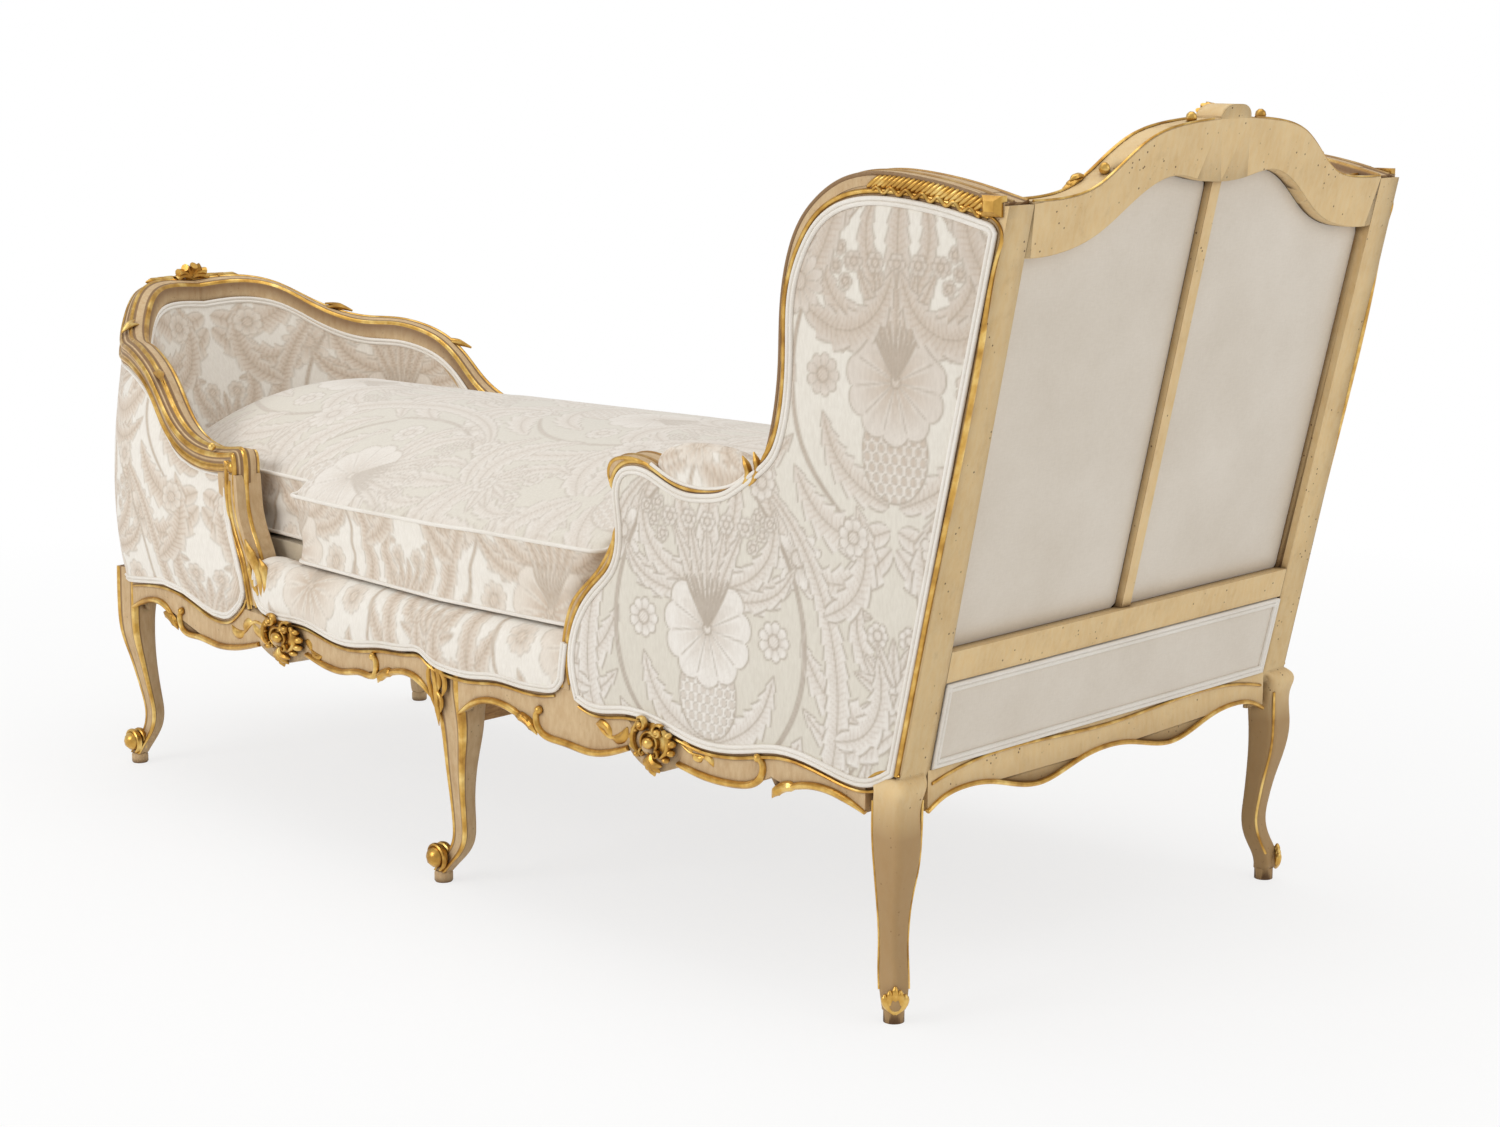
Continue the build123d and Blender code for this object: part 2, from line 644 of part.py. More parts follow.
side_out = Vector(0, -1, 0)
join("side_rail_head_left", "middle_leg_left",
     toward(head_point(head_rail_start, rail_tenon_z, rail_tenon_inset), (-1, 0, 0)),
     rail_tenon_height)
join("side_rail_head_left", "back_post_left",
     toward(head_point(head_rail_end, rail_tenon_z, rail_tenon_inset), (1, 0, 0)),
     rail_tenon_height, side_out)
join("side_rail_foot_left", "middle_leg_left",
     toward(foot_point(foot_rail_start, rail_tenon_z, rail_tenon_inset), (1, 0, 0)),
     rail_tenon_height, length=tenon_length * short_tenon_share)
join("side_rail_foot_left", "end_leg_left",
     toward(foot_point(foot_rail_end, rail_tenon_z, rail_tenon_inset), (-1, 0, 0)),
     rail_tenon_height, length=tenon_length * short_tenon_share)
join("end_seat_rail", "end_leg_left",
     toward(Vector(end_head_x - knee_width * end_tenon_share, -end_inner_y, rail_tenon_z),
            (0, -1, 0)),
     rail_tenon_height, centred=True, length=tenon_length * stub_tenon_share)
join("rear_seat_rail", "back_post_left",
     toward(Vector(x_ledge - rail_tenon_inset, -rear_inner_y,
                   rail_tenon_z - rail_tenon_height * (1 - low_tenon_share)), (0, -1, 0)),
     rail_tenon_height * low_tenon_share, centred=True, length=tenon_length * stub_tenon_share)
join("seat_cross_rail", "middle_leg_left",
     toward(Vector(middle_head_x, -middle_inner_y, cross_rail_low + cross_rail_height / 2),
            (0, -1, 0)), cross_rail_height * low_tenon_share, centred=True,
     length=tenon_length * stub_tenon_share)

support_foot_u = head_span * (support_front_shares[0][0] + support_rear_shares[-1][0]) / 2
join("arm_support_left", "side_rail_head_left",
     toward(head_point(support_foot_u, rail_top, rail_tenon_inset), (0, 0, -1), (1, 0, 0)),
     support_tenon_width)
support_head_u = head_span * (support_front_shares[-1][0] + support_rear_shares[0][0]) / 2
join("arm_support_left", "arm_rail_left",
     toward(head_point(support_head_u, head_z(support_top_share), rail_tenon_inset),
            (0, 0, 1), (1, 0, 0)), support_tenon_width, length=tenon_length * short_tenon_share)
arm_tenon_z = head_z((stile_foot_share + arm_under_share) / 2)
arm_tail_u = head_span + rake * (arm_tenon_z - ledge_height) - post_depth
join("arm_rail_left", "back_post_left",
     toward(head_point(arm_tail_u, arm_tenon_z, rail_tenon_inset), (1, 0, 0)),
     rail_tenon_height, side_out)
stile_foot_u = head_span * (wing_front_shares[0][0] + wing_rear_shares[-1][0]) / 2
join("wing_stile_left", "arm_rail_left",
     toward(head_point(stile_foot_u, head_z(stile_foot_share), rail_tenon_inset),
            (0, 0, -1), (1, 0, 0)), support_tenon_width)
stile_head_u = head_span * (wing_front_shares[-1][0] + wing_rear_shares[0][0]) / 2
join("wing_stile_left", "wing_top_rail_left",
     toward(head_point(stile_head_u, head_z(stile_head_share), rail_tenon_inset),
            (0, 0, 1), (1, 0, 0)), back_tenon_height, length=tenon_length * short_tenon_share)
wing_tenon_z = back_top - back_tenon_height
wing_tail_u = head_span + rake * (wing_tenon_z - ledge_height) - post_depth
join("wing_top_rail_left", "back_post_left",
     toward(head_point(wing_tail_u, wing_tenon_z, rail_tenon_inset), (1, 0, 0)),
     back_tenon_height * low_tenon_share, side_out, length=tenon_length * stub_tenon_share)

rear_normal = Vector(1, 0, -rake).normalized()
crest_tenon_z = back_top - back_tenon_height
crest_place = back_point(-post_inner(crest_tenon_z), crest_tenon_z, crest_thickness / 2)
join("crest_rail", "back_post_left", toward(crest_place, (0, -1, 0)),
     back_tenon_height, centred=True)
cross_tenon_z = (cross_low + cross_high) / 2
cross_place = back_point(-post_inner(cross_tenon_z), cross_tenon_z, crest_thickness / 2)
join("back_cross_rail", "back_post_left", toward(cross_place, (0, -1, 0)),
     back_tenon_height, rear_normal, centred=True)
stile_depth = stile_inset + (crest_thickness - stile_inset) / 2
join("back_centre_stile", "back_cross_rail",
     toward(back_point(0, cross_high, stile_depth), (-rake, 0, -1), (1, 0, 0)),
     tenon_thickness, length=tenon_length * stub_tenon_share)

foot_support_u = foot_span * (foot_support_front_shares[0][0]
                              + foot_support_rear_shares[-1][0]) / 2
join("foot_arm_support_left", "side_rail_foot_left",
     toward(foot_point(foot_support_u, rail_top, rail_tenon_inset), (0, 0, -1), tuple(along)),
     support_tenon_width)
foot_head_u = foot_span * (foot_support_front_shares[-1][0]
                           + foot_support_rear_shares[0][0]) / 2
join("foot_arm_support_left", "foot_rail_left",
     toward(foot_point(foot_head_u, support_head, rail_tenon_inset), (0, 0, 1), tuple(along)),
     support_tenon_width, length=tenon_length * short_tenon_share)
split_turn, split_height = rail_sections[crest_split_index]
split_angle = quarter(split_turn)
split_origin = radial(split_angle, rail_radius(split_angle) - foot_rail_width / 2,
                      rail_height(split_height) - foot_rail_depth / 2)
split_dir = (math.cos(split_angle), -math.sin(split_angle), 0)
join("foot_crest_rail", "foot_rail_left", toward(split_origin, split_dir),
     foot_rail_depth / 2, centred=True, length=tenon_length * short_tenon_share)

# Carved cartouches in relief on the aprons and a shell over the foot end
cartouche_radius = 26.0
cartouche_relief = 9.0
cartouche_boss_radius = 11.0
cartouche_round_share = 0.7
cartouche_boss_share = 0.6
cartouche_height_share = 0.90
head_cartouche_share = 0.514
foot_cartouche_share = 0.458


def cartouche(place):
    """A domed shell with a raised boss, standing out of its face along the place's Z."""
    disc = Cylinder(cartouche_radius, 2 * cartouche_relief)
    disc = fillet(disc.edges().filter_by(GeomType.CIRCLE).sort_by(Axis.Z)[-1],
                  cartouche_relief * cartouche_round_share)
    boss = Location((0, 0, cartouche_relief * cartouche_boss_share)) * Sphere(
        cartouche_boss_radius)
    return place * (disc + boss)


head_cartouche_u = (head_rail_start
                    + (head_rail_end - head_rail_start) * head_cartouche_share)
foot_cartouche_v = (foot_rail_start
                    + (foot_rail_end - foot_rail_start) * foot_cartouche_share)
cartouche_z = ledge_height * cartouche_height_share
parts["side_rail_head_left"] = solid_of(parts["side_rail_head_left"] + cartouche(
    Plane(head_point(head_cartouche_u, cartouche_z), z_dir=(0, -1, 0))))
parts["side_rail_foot_left"] = solid_of(parts["side_rail_foot_left"] + cartouche(
    Plane(foot_point(foot_cartouche_v, cartouche_z + cartouche_relief),
          z_dir=tuple(inward * -1))))
parts["end_seat_rail"] = solid_of(parts["end_seat_rail"] + cartouche(
    Plane(Vector(bow_x(0), 0, cartouche_z), z_dir=(-1, 0, 0))))
foot_shell_radius = 22.0
foot_shell_height = 12.0
foot_shell = Location((foot_axis_x - foot_ellipse_reach + foot_rail_width / 2, 0,
                       foot_rail_high - foot_shell_radius + foot_shell_height)) * Sphere(
    foot_shell_radius)
parts["foot_crest_rail"] = solid_of(parts["foot_crest_rail"] + foot_shell)

# Outer coverings: a padded plate let into each head side, following the double piping
cover_thickness = 8.0
cover_set_back = 1.0
cover_runs_shares = [
    [(0.350, 0.012), (0.337, 0.076), (0.342, 0.134), (0.364, 0.194), (0.398, 0.241),
     (0.428, 0.279), (0.443, 0.329), (0.441, 0.391), (0.440, 0.445), (0.450, 0.466),
     (0.475, 0.479), (0.507, 0.476), (0.543, 0.459), (0.585, 0.445), (0.628, 0.447),
     (0.663, 0.456), (0.698, 0.481), (0.727, 0.505), (0.754, 0.533), (0.775, 0.587),
     (0.786, 0.660), (0.789, 0.745), (0.791, 0.816), (0.799, 0.862), (0.817, 0.913),
     (0.842, 0.955), (0.875, 0.983), (0.920, 0.999), (0.965, 1.002), (1.030, 0.996),
     (1.090, 0.984), (1.135, 0.971)],
    [(1.1547, 0.955), (0.988, 0.005)],
    [(0.988, 0.005), (0.947, -0.022), (0.872, -0.016), (0.775, 0.000), (0.695, -0.017),
     (0.614, -0.022), (0.531, 0.000), (0.456, 0.008), (0.379, 0.000), (0.350, 0.012)]]
cover_runs = [on_head(run) for run in cover_runs_shares]
cover_cutter = head_plate(cover_runs, -overrun, overrun + cover_set_back + cover_thickness)
for name in ("arm_support_left", "arm_rail_left", "wing_stile_left", "wing_top_rail_left",
             "side_rail_head_left", "back_post_left"):
    parts[name] = solid_of(parts[name] - cover_cutter)
parts["side_cover_left"] = solid_of(head_plate(cover_runs, cover_set_back, cover_thickness))

# Inner side pads line the arms and wings from the seat rail up
side_pad_thickness = 32.0
below_rail = Location((0, 0, rail_top + seat_gap)) * Box(
    4 * foot_reach, 4 * side_half_width, 4 * back_top,
    align=(Align.CENTER, Align.CENTER, Align.MAX))
inner_side = head_plate(cover_runs, rail_thickness + seat_gap, side_pad_thickness)
parts["inner_side_pad_left"] = solid_of(inner_side - post_front - below_rail)

# Arm pads sit in the sag of the arm rails
arm_pad_shares = [
    [(0.520, 0.470), (0.516, 0.492), (0.535, 0.518), (0.570, 0.532), (0.620, 0.537),
     (0.670, 0.531), (0.702, 0.512), (0.708, 0.490), (0.700, 0.470)]]
arm_pad_inset = 1.0
arm_pad_width = 38.0
arm_pad = head_plate([on_head(run) for run in arm_pad_shares], arm_pad_inset, arm_pad_width)
parts["arm_pad_left"] = solid_of(arm_pad - parts["arm_rail_left"] - parts["wing_stile_left"])

# Satin panels close the back from behind: two let into grooves above, one standing below
panel_thickness = 5.0
panel_inset = 18.0
panel_lip = 5.0
panel_top = [(half_y, z) for half_y, z in on_back(crest_under_shares, post_inner_high)]
stile_groove_share = 0.25
stile_groove = stile_width * stile_groove_share
panel_high = [(y, z + panel_lip) for y, z in panel_top if y <= -stile_groove]
panel_high[0] = (-stile_groove, panel_high[0][1])
panel_high[-1] = (-post_inner_high - panel_lip, panel_high[-1][1])
upper_panel = back_plate([panel_high,
                          [(-cross_half_high - panel_lip, cross_high - panel_lip),
                           (-stile_groove, cross_high - panel_lip)]],
                         panel_inset, panel_thickness)
for name in ("crest_rail", "back_cross_rail", "back_centre_stile"):
    parts[name] = solid_of(parts[name] - upper_panel - mirrored(upper_panel))
parts["back_post_left"] = solid_of(parts["back_post_left"] - upper_panel)
parts["back_panel_left"] = solid_of(upper_panel)
lower_inset = 3.0
lower_thickness = 9.0
low_inner = post_inner_low - seat_gap
lower_panel = back_plate([[(-low_inner, ledge_height), (low_inner, ledge_height)],
                          [(cross_half_low - seat_gap, cross_low),
                           (-cross_half_low + seat_gap, cross_low)]],
                         lower_inset, lower_thickness)
parts["back_lower_panel"] = solid_of(lower_panel)

# The inner back pad is stuffed in front of the crest and cross rails
back_pad_thickness = 55.0
back_pad_half = side_half_width - rail_thickness - side_pad_thickness - 2 * seat_gap
pad_rise_share = 0.022
back_pad_top = [(back_pad_half * y / post_inner_high, z + back_rise * pad_rise_share)
                for y, z in on_back(crest_under_shares, post_inner_high)]
back_pad_low = deck_top - tenon_length
back_pad = back_plate([back_pad_top, [(-back_pad_half, back_pad_low),
                                      (back_pad_half, back_pad_low)]],
                      crest_thickness + seat_gap, back_pad_thickness)
parts["inner_back_pad"] = solid_of(back_pad)

# Foot coverings: the outside flares from the seat rails up to the top rail, the pad lines it
support_clear_share = 0.655
support_clear_v = foot_span * support_clear_share
side_swell_share = 1 / 3
shell_gap = 5.0


def end_shell(outer_inset, thickness, bulge):
    """A bowed shell right round the foot end, under the top rail and over the seat rails."""
    low_z = rail_top + seat_gap
    faces = [side_section(outer_inset, low_z, thickness, bulge * side_swell_share)]
    for turn, height_share in rail_sections:
        angle = quarter(turn)
        top = rail_height(height_share) - foot_rail_depth - shell_gap
        swell = bulge * (side_swell_share + (1 - side_swell_share) * math.sin(angle))
        faces.append(bowed_section(angle, (seat_radius(angle) - outer_inset, low_z),
                                   (rail_radius(angle) - outer_inset, top), thickness, swell))
    half = loft(faces)
    return solid_of(half + mirrored(half))


def side_section(inset, low_z, thickness, swell):
    """The same bowed section across the straight side, just behind the arm support."""
    high_z = foot_rail_low - foot_rail_depth - shell_gap
    places = [(inset, low_z), (inset - swell, (low_z + high_z) / 2), (inset, high_z)]
    outer = [foot_point(support_clear_v, z, depth) for depth, z in places]
    inner = [foot_point(support_clear_v, z, depth + thickness) for depth, z in places[::-1]]
    edges = [ThreePointArc(*outer), Line(outer[-1], inner[0]),
             ThreePointArc(*inner), Line(inner[-1], outer[0])]
    return Face(Wire(edges))


parts["foot_outer_cover"] = end_shell(foot_cover_inset, foot_cover_thickness, foot_cover_bulge)
parts["foot_inner_pad"] = end_shell(foot_pad_inset, foot_pad_thickness, foot_cover_bulge / 2)

# Padded borders close the seat's sides between the supports, bent at the middle leg
border_top = 368.0
border_thickness = 55.0
border_inset = 3.0
border_round = 20.0
border_head_share = 0.335
border_foot_share = 0.575


def border_line(inset):
    """Plan points of the seat's side line at an inset, from head to foot."""
    head = head_point(head_span * border_head_share, 0, inset)
    bend = head_point(0, 0, inset)
    foot = foot_point(foot_span * border_foot_share, 0, inset)
    return [(head.X, head.Y), (bend.X, bend.Y), (foot.X, foot.Y)]


outer_line = border_line(border_inset)
inner_line = border_line(border_inset + border_thickness)
border_runs = [outer_line[:2], outer_line[1:], [outer_line[2], inner_line[2]],
               inner_line[:0:-1], inner_line[1::-1], [inner_line[0], outer_line[0]]]
border_edge_share = 0.25
border_edge_margin = border_thickness * border_edge_share
border = level_plate(border_runs, rail_top + seat_gap, border_top)
border = fillet([edge for edge in border.edges().group_by(Axis.Z)[-1]
                 if edge.center().Y < -end_half_width
                 and edge.length > 2 * border_thickness
                 and abs(edge.center().Y) > abs(inner_line[2][1]) + border_edge_margin],
                border_round)
border = border - parts["arm_support_left"] - parts["foot_arm_support_left"]
parts["seat_border_left"] = solid_of(border)

# Plan outlines of the deck and the cushion: a cross shape with ears between the supports and
# a rounded foot end made of a wide arc between two corner arcs
end_arc_radius = 430.0
end_arc_turn = 20.0
ear_pad_gap = 1.0


def round_end(side_inset, end_x):
    """Plan points of the left corner arc and of the wide end arc that it runs into."""
    turn = math.radians(end_arc_turn)
    centre = Vector(end_x + end_arc_radius, 0, 0)
    out = Vector(-math.cos(turn), -math.sin(turn), 0)
    lean = -out.dot(inward)
    reach = (centre - middle_corner - inward * side_inset).dot(inward)
    corner_radius = (reach - end_arc_radius * lean) / (1 - lean)
    corner_centre = centre + out * (end_arc_radius - corner_radius)
    half_out = Vector(-math.cos(turn / 2), -math.sin(turn / 2), 0)
    return [corner_centre - inward * corner_radius,
            corner_centre + (out - inward).normalized() * corner_radius,
            centre + out * end_arc_radius, centre + half_out * end_arc_radius,
            Vector(end_x, 0, 0)]


def seat_plan(head_u, head_half, ear_u, ear_inset, ear_v, neck_inset, end_x):
    """Left corners and end arcs of the cross-shaped seat."""
    ear_head = head_point(ear_u, 0, ear_inset)
    end_points = round_end(neck_inset, end_x)
    left = [Vector(x_middle + head_u, -head_half, 0), Vector(ear_head.X, -head_half, 0),
            ear_head, head_point(0, 0, ear_inset), foot_point(ear_v, 0, ear_inset),
            foot_point(ear_v, 0, neck_inset), end_points[0]]
    return left, end_points


def plan_face(plan, z, x_share=1.0, y_share=1.0):
    """A face at a height inside a seat plan and its mirror, drawn in by shares."""
    left, end_points = [[Vector(point.X * x_share, point.Y * y_share, z) for point in points]
                        for points in plan]
    edges = [Line(start, end) for start, end in zip(left, left[1:])]
    edges.append(ThreePointArc(*end_points[:3]))
    edges.append(ThreePointArc(*end_points[2:]))
    edges.extend([mirrored(edge).edge() for edge in edges])
    edges.append(Line(left[0], Vector(left[0].X, -left[0].Y, z)))
    return Face(Wire(edges))


# The deck is a stuffed platform that fills the space between the borders and the pads
deck_thickness = 40.0
deck_low = deck_top - deck_thickness
pad_inner = side_half_width - rail_thickness - side_pad_thickness - 2 * seat_gap
deck_head_u = (head_span + rake * (deck_low - ledge_height) - crest_thickness
               - back_pad_thickness - 2 * seat_gap)
deck_ear_u = head_span * support_front_shares[0][0] - ear_pad_gap
deck_ear_v = foot_span * foot_support_front_shares[0][0] - ear_pad_gap
deck_ear_inset = border_inset + border_thickness + ear_pad_gap
deck_neck_inset = deck_ear_inset + ear_pad_gap
deck_plan = seat_plan(deck_head_u, pad_inner - seat_gap, deck_ear_u, deck_ear_inset, deck_ear_v,
                      deck_neck_inset, x_end - end_bow + deck_neck_inset)
parts["seat_deck"] = solid_of(extrude(plan_face(deck_plan, deck_low), amount=deck_thickness,
                                      dir=(0, 0, 1)))

# Webbing crosses under the springs, its ends tacked in a rebate under the rails
web_level = 262.0
web_thickness = 2.0
web_width = 50.0
web_rebate = 16.0
web_inset = rail_thickness - web_rebate
head_column_shares = [0.108, 0.318, 0.527, 0.737]
foot_column_shares = [0.206, 0.412, 0.619, 0.825]
spring_row_spacing = 140.0
rows_each_way = 2
tack_diameter = 2.0
tack_length = 13.0
tack_head_diameter = 7.0
tack_head_height = 1.0
tack_fit = 0.1
web_top = web_level + web_thickness
long_web_top = web_level - seat_gap


def frame_zone(inset, high):
    """The whole space inside the seat rails at an inset, from the floor to a height."""
    half = side_half_width - inset
    head_x = x_ledge - inset
    corners = [(x_middle, half), (head_x, half), (head_x, -half), (x_middle, -half)]
    runs = [bow_run(end_half_width - inset, inset)]
    runs.extend([list(pair) for pair in zip(corners, corners[1:])])
    return level_plate(runs, 0, high)


spring_columns = [x_middle + head_span * share for share in head_column_shares]
spring_columns += [x_middle - foot_span * share for share in foot_column_shares]
spring_rows = [spring_row_spacing * (k + 1 / 2) for k in range(-rows_each_way, rows_each_way)]
web_zone = frame_zone(web_inset, web_top)
cross_web = Box(web_width, 2 * side_half_width, web_thickness)
long_web = Box(2 * (head_reach + foot_reach), web_width, web_thickness)
cross_webs = [(Location((x, 0, web_level + web_thickness / 2)) * cross_web & web_zone).solid()
              for x in spring_columns]
long_webs = [(Location((0, y, long_web_top - web_thickness / 2)) * long_web & web_zone).solid()
             for y in spring_rows]
for name in ("side_rail_head_left", "side_rail_foot_left"):
    parts[name] = solid_of(parts[name] - web_zone)
end_zone = frame_zone(web_inset, long_web_top)
for name in ("rear_seat_rail", "end_seat_rail"):
    parts[name] = solid_of(parts[name] - end_zone)


def tack(place, grow=0.0):
    """A tack driven upwards, with its head under the webbing."""
    shank = Cylinder(tack_diameter / 2 + grow, tack_length + grow,
                     align=(Align.CENTER, Align.CENTER, Align.MIN))
    head = Cylinder(tack_head_diameter / 2, tack_head_height,
                    align=(Align.CENTER, Align.CENTER, Align.MAX))
    return Location(place) * (shank + head)


def tack_row(x, y, z, step_x, step_y):
    """Places of two tacks either side of the middle of a strap's end."""
    return [Vector(x - step_x, y - step_y, z), Vector(x + step_x, y + step_y, z)]


tack_spread_share = 0.25
tack_spread = web_width * tack_spread_share
side_tacks = []
end_tacks = []
for x in spring_columns:
    taper = max(0.0, side_slant * (x_middle - x) / foot_span)
    y = -side_half_width + taper + web_inset + web_rebate / 2
    side_tacks.extend(tack_row(x, y, web_level, tack_spread, 0))
for y in spring_rows:
    for x in (x_ledge - web_inset - web_rebate / 2, bow_x(y, web_inset + web_rebate / 2)):
        end_tacks.extend(tack_row(x, y, long_web_top - web_thickness, 0, tack_spread))
side_holes = Compound([tack(place, tack_fit).solid() for place in side_tacks])
end_holes = Compound([tack(place, tack_fit).solid() for place in end_tacks])
for name in ("side_rail_head_left", "side_rail_foot_left"):
    parts[name] = solid_of(parts[name] - side_holes)
for name in ("rear_seat_rail", "end_seat_rail"):
    parts[name] = solid_of(parts[name] - end_holes)
both_holes = Compound(side_holes.solids() + mirrored(side_holes).solids())
parts["cross_webbing"] = Compound([solid_of(web - both_holes) for web in cross_webs])
parts["long_webbing"] = Compound([solid_of(web - end_holes) for web in long_webs])
side_tack_bodies = [tack(place).solid() for place in side_tacks]
parts["webbing_tacks"] = Compound(side_tack_bodies
                                  + [mirrored(body).solid() for body in side_tack_bodies]
                                  + [tack(place).solid() for place in end_tacks])

# Coil springs stand on the crossings of the webbing, waisted like an hourglass
spring_radius = 34.0
spring_waist_radius = 23.0
spring_wire = 3.5
spring_height = deck_low - web_top


def spring_body():
    outer = [Vector(spring_radius, 0, 0), Vector(spring_waist_radius, 0, spring_height / 2),
             Vector(spring_radius, 0, spring_height)]
    inner = [Vector(place.X - spring_wire, 0, place.Z) for place in outer[::-1]]
    wall = Face(Wire([ThreePointArc(*outer), Line(outer[-1], inner[0]),
                      ThreePointArc(*inner), Line(inner[-1], outer[0])]))
    return revolve(wall, Axis.Z)


def spring_fits(x, y):
    """Whether a spring stands clear inside the rails at a crossing."""
    reach = spring_radius + rail_thickness + ear_pad_gap
    return seat_inside(x - reach, abs(y) + reach)


one_spring = spring_body()
parts["seat_springs"] = Compound([(Location((x, y, web_top)) * one_spring).solid()
                                  for x in spring_columns for y in spring_rows
                                  if spring_fits(x, y)])

# Corner blocks brace the rear rail to the side rails, each held by two screws
block_size = 70.0
block_low = 268.0
block_height = 26.0
screw_diameter = 4.0
screw_head_diameter = 8.0
screw_head_height = 2.5
screw_length = 34.0
screw_fit = 0.1
screw_depth_share = 0.34
screw_offset_share = 0.62
block_corner = (x_ledge - rail_thickness, -side_half_width + rail_thickness)
block = level_plate([[block_corner, (block_corner[0] - block_size, block_corner[1])],
                     [(block_corner[0] - block_size, block_corner[1]),
                      (block_corner[0], block_corner[1] + block_size)],
                     [(block_corner[0], block_corner[1] + block_size), block_corner]],
                    block_low, block_low + block_height)
block = solid_of(block - parts["back_post_left"])
screws = []


def screw(place, grow):
    shank = Cylinder(screw_diameter / 2 + grow, screw_length,
                     align=(Align.CENTER, Align.CENTER, Align.MAX))
    head = Cylinder(screw_head_diameter / 2 + grow, screw_head_height,
                    align=(Align.CENTER, Align.CENTER, Align.MAX))
    return place * (shank + head)


screw_depth = block_size * screw_depth_share
screw_offset = block_size * screw_offset_share
screw_z = block_low + block_height / 2
side_screw = Plane((block_corner[0] - screw_offset, block_corner[1] + screw_depth, screw_z),
                   z_dir=(0, 1, 0))
rear_screw = Plane((block_corner[0] - screw_depth, block_corner[1] + screw_offset, screw_z),
                   z_dir=(-1, 0, 0))
for place in (side_screw, rear_screw):
    access = place * Cylinder(screw_head_diameter / 2 + screw_fit, block_size,
                              align=(Align.CENTER, Align.CENTER, Align.MIN))
    block = block - screw(place, screw_fit) - access
    screws.append(screw(place, 0.0))
parts["rear_corner_block_left"] = solid_of(block)
parts["side_rail_head_left"] = solid_of(parts["side_rail_head_left"]
                                        - screw(side_screw, screw_fit))
rear_hole = screw(rear_screw, screw_fit)
parts["rear_seat_rail"] = solid_of(parts["rear_seat_rail"] - rear_hole - mirrored(rear_hole))

# The loose seat cushion: a boxed squab with seams, drawn-in sides and a high crown
cushion_low = deck_top + seat_gap
cushion_seam_low = 393.0
cushion_seam_high = 474.0
cushion_crown = 566.0
cushion_head_gap = 4.0
cushion_ear_inset = 21.0
cushion_neck_inset = 62.0
ear_head_low_share = 0.310
ear_head_high_share = 0.366
ear_foot_low_share = 0.440
ear_foot_high_share = 0.463
side_draw_share = 0.985
crown_shares = [(0.00, 1.00, 1.00), (0.17, 0.992, 0.975), (0.42, 0.965, 0.90),
                (0.68, 0.915, 0.76), (0.88, 0.84, 0.58), (1.00, 0.73, 0.36)]


def cushion_plan(seam_share):
    """The cushion's plan at a share of the height between its two seams."""
    ear_head = head_span * (ear_head_low_share
                            + (ear_head_high_share - ear_head_low_share) * seam_share)
    ear_foot = foot_span * (ear_foot_low_share
                            + (ear_foot_high_share - ear_foot_low_share) * seam_share)
    return seat_plan(deck_head_u - cushion_head_gap, pad_inner - cushion_head_gap, ear_head,
                     cushion_ear_inset, ear_foot, cushion_neck_inset,
                     x_end - end_bow + cushion_neck_inset)


low_plan = cushion_plan(0)
middle_plan = cushion_plan(0.5)
high_plan = cushion_plan(1)
cushion_bottom = loft([plan_face(low_plan, cushion_low, side_draw_share, side_draw_share),
                       plan_face(low_plan, cushion_seam_low)])
middle_z = (cushion_seam_low + cushion_seam_high) / 2
cushion_side = loft([plan_face(low_plan, cushion_seam_low),
                     plan_face(middle_plan, middle_z, side_draw_share, side_draw_share),
                     plan_face(high_plan, cushion_seam_high)])
crown_rise = cushion_crown - cushion_seam_high
cushion_top = loft([plan_face(high_plan, cushion_seam_high + crown_rise * z_share,
                              x_share, y_share) for z_share, x_share, y_share in crown_shares])
parts["seat_cushion"] = solid_of(cushion_bottom + cushion_side + cushion_top)

# Right pieces mirror the left ones
for name in list(parts):
    if name.endswith("_left"):
        parts[name[:-len("left")] + "right"] = mirrored(parts[name])
parts["block_screws"] = Compound([screw_body.solid() for screw_body in screws]
                                 + [mirrored(screw_body).solid() for screw_body in screws])
parts["joint_pegs"] = Compound([peg.solid() for peg in pegs]
                               + [mirrored(peg).solid() for peg in pegs])

for name, shape in parts.items():
    export_step(shape, "parts/" + name + ".step")
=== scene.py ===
import json
import math
import bpy
import bmesh
import numpy as np
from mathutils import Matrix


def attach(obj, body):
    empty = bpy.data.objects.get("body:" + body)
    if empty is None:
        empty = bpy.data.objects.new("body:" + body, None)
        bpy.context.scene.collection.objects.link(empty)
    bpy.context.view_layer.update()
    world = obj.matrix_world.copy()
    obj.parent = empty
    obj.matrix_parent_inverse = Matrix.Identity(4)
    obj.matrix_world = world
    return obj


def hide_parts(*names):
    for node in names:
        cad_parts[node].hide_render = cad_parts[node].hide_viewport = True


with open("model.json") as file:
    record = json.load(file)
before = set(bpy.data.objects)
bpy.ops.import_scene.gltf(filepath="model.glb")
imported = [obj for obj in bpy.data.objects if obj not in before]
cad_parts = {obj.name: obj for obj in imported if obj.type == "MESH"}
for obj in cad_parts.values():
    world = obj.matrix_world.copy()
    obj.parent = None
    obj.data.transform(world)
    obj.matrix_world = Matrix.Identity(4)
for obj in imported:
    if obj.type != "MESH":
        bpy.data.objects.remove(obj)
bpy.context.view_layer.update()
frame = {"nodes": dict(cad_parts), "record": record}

# The daybed stands with its high back towards +X. Left is -Y. Sizes are in millimetres here and
# become metres when a mesh is made. They repeat the construction's own values.
MM = 0.001
head_span = 787.0
foot_span = 800.0
side_half = 384.0
end_half = 288.0
end_bow = 92.0
rail_thickness = 40.0
ledge_height = 284.0
rail_top = 300.0
back_top = 914.0
crest_top = 992.0
ornament_top = 1010.0
deck_top = 384.0
back_rake_run = 138.0
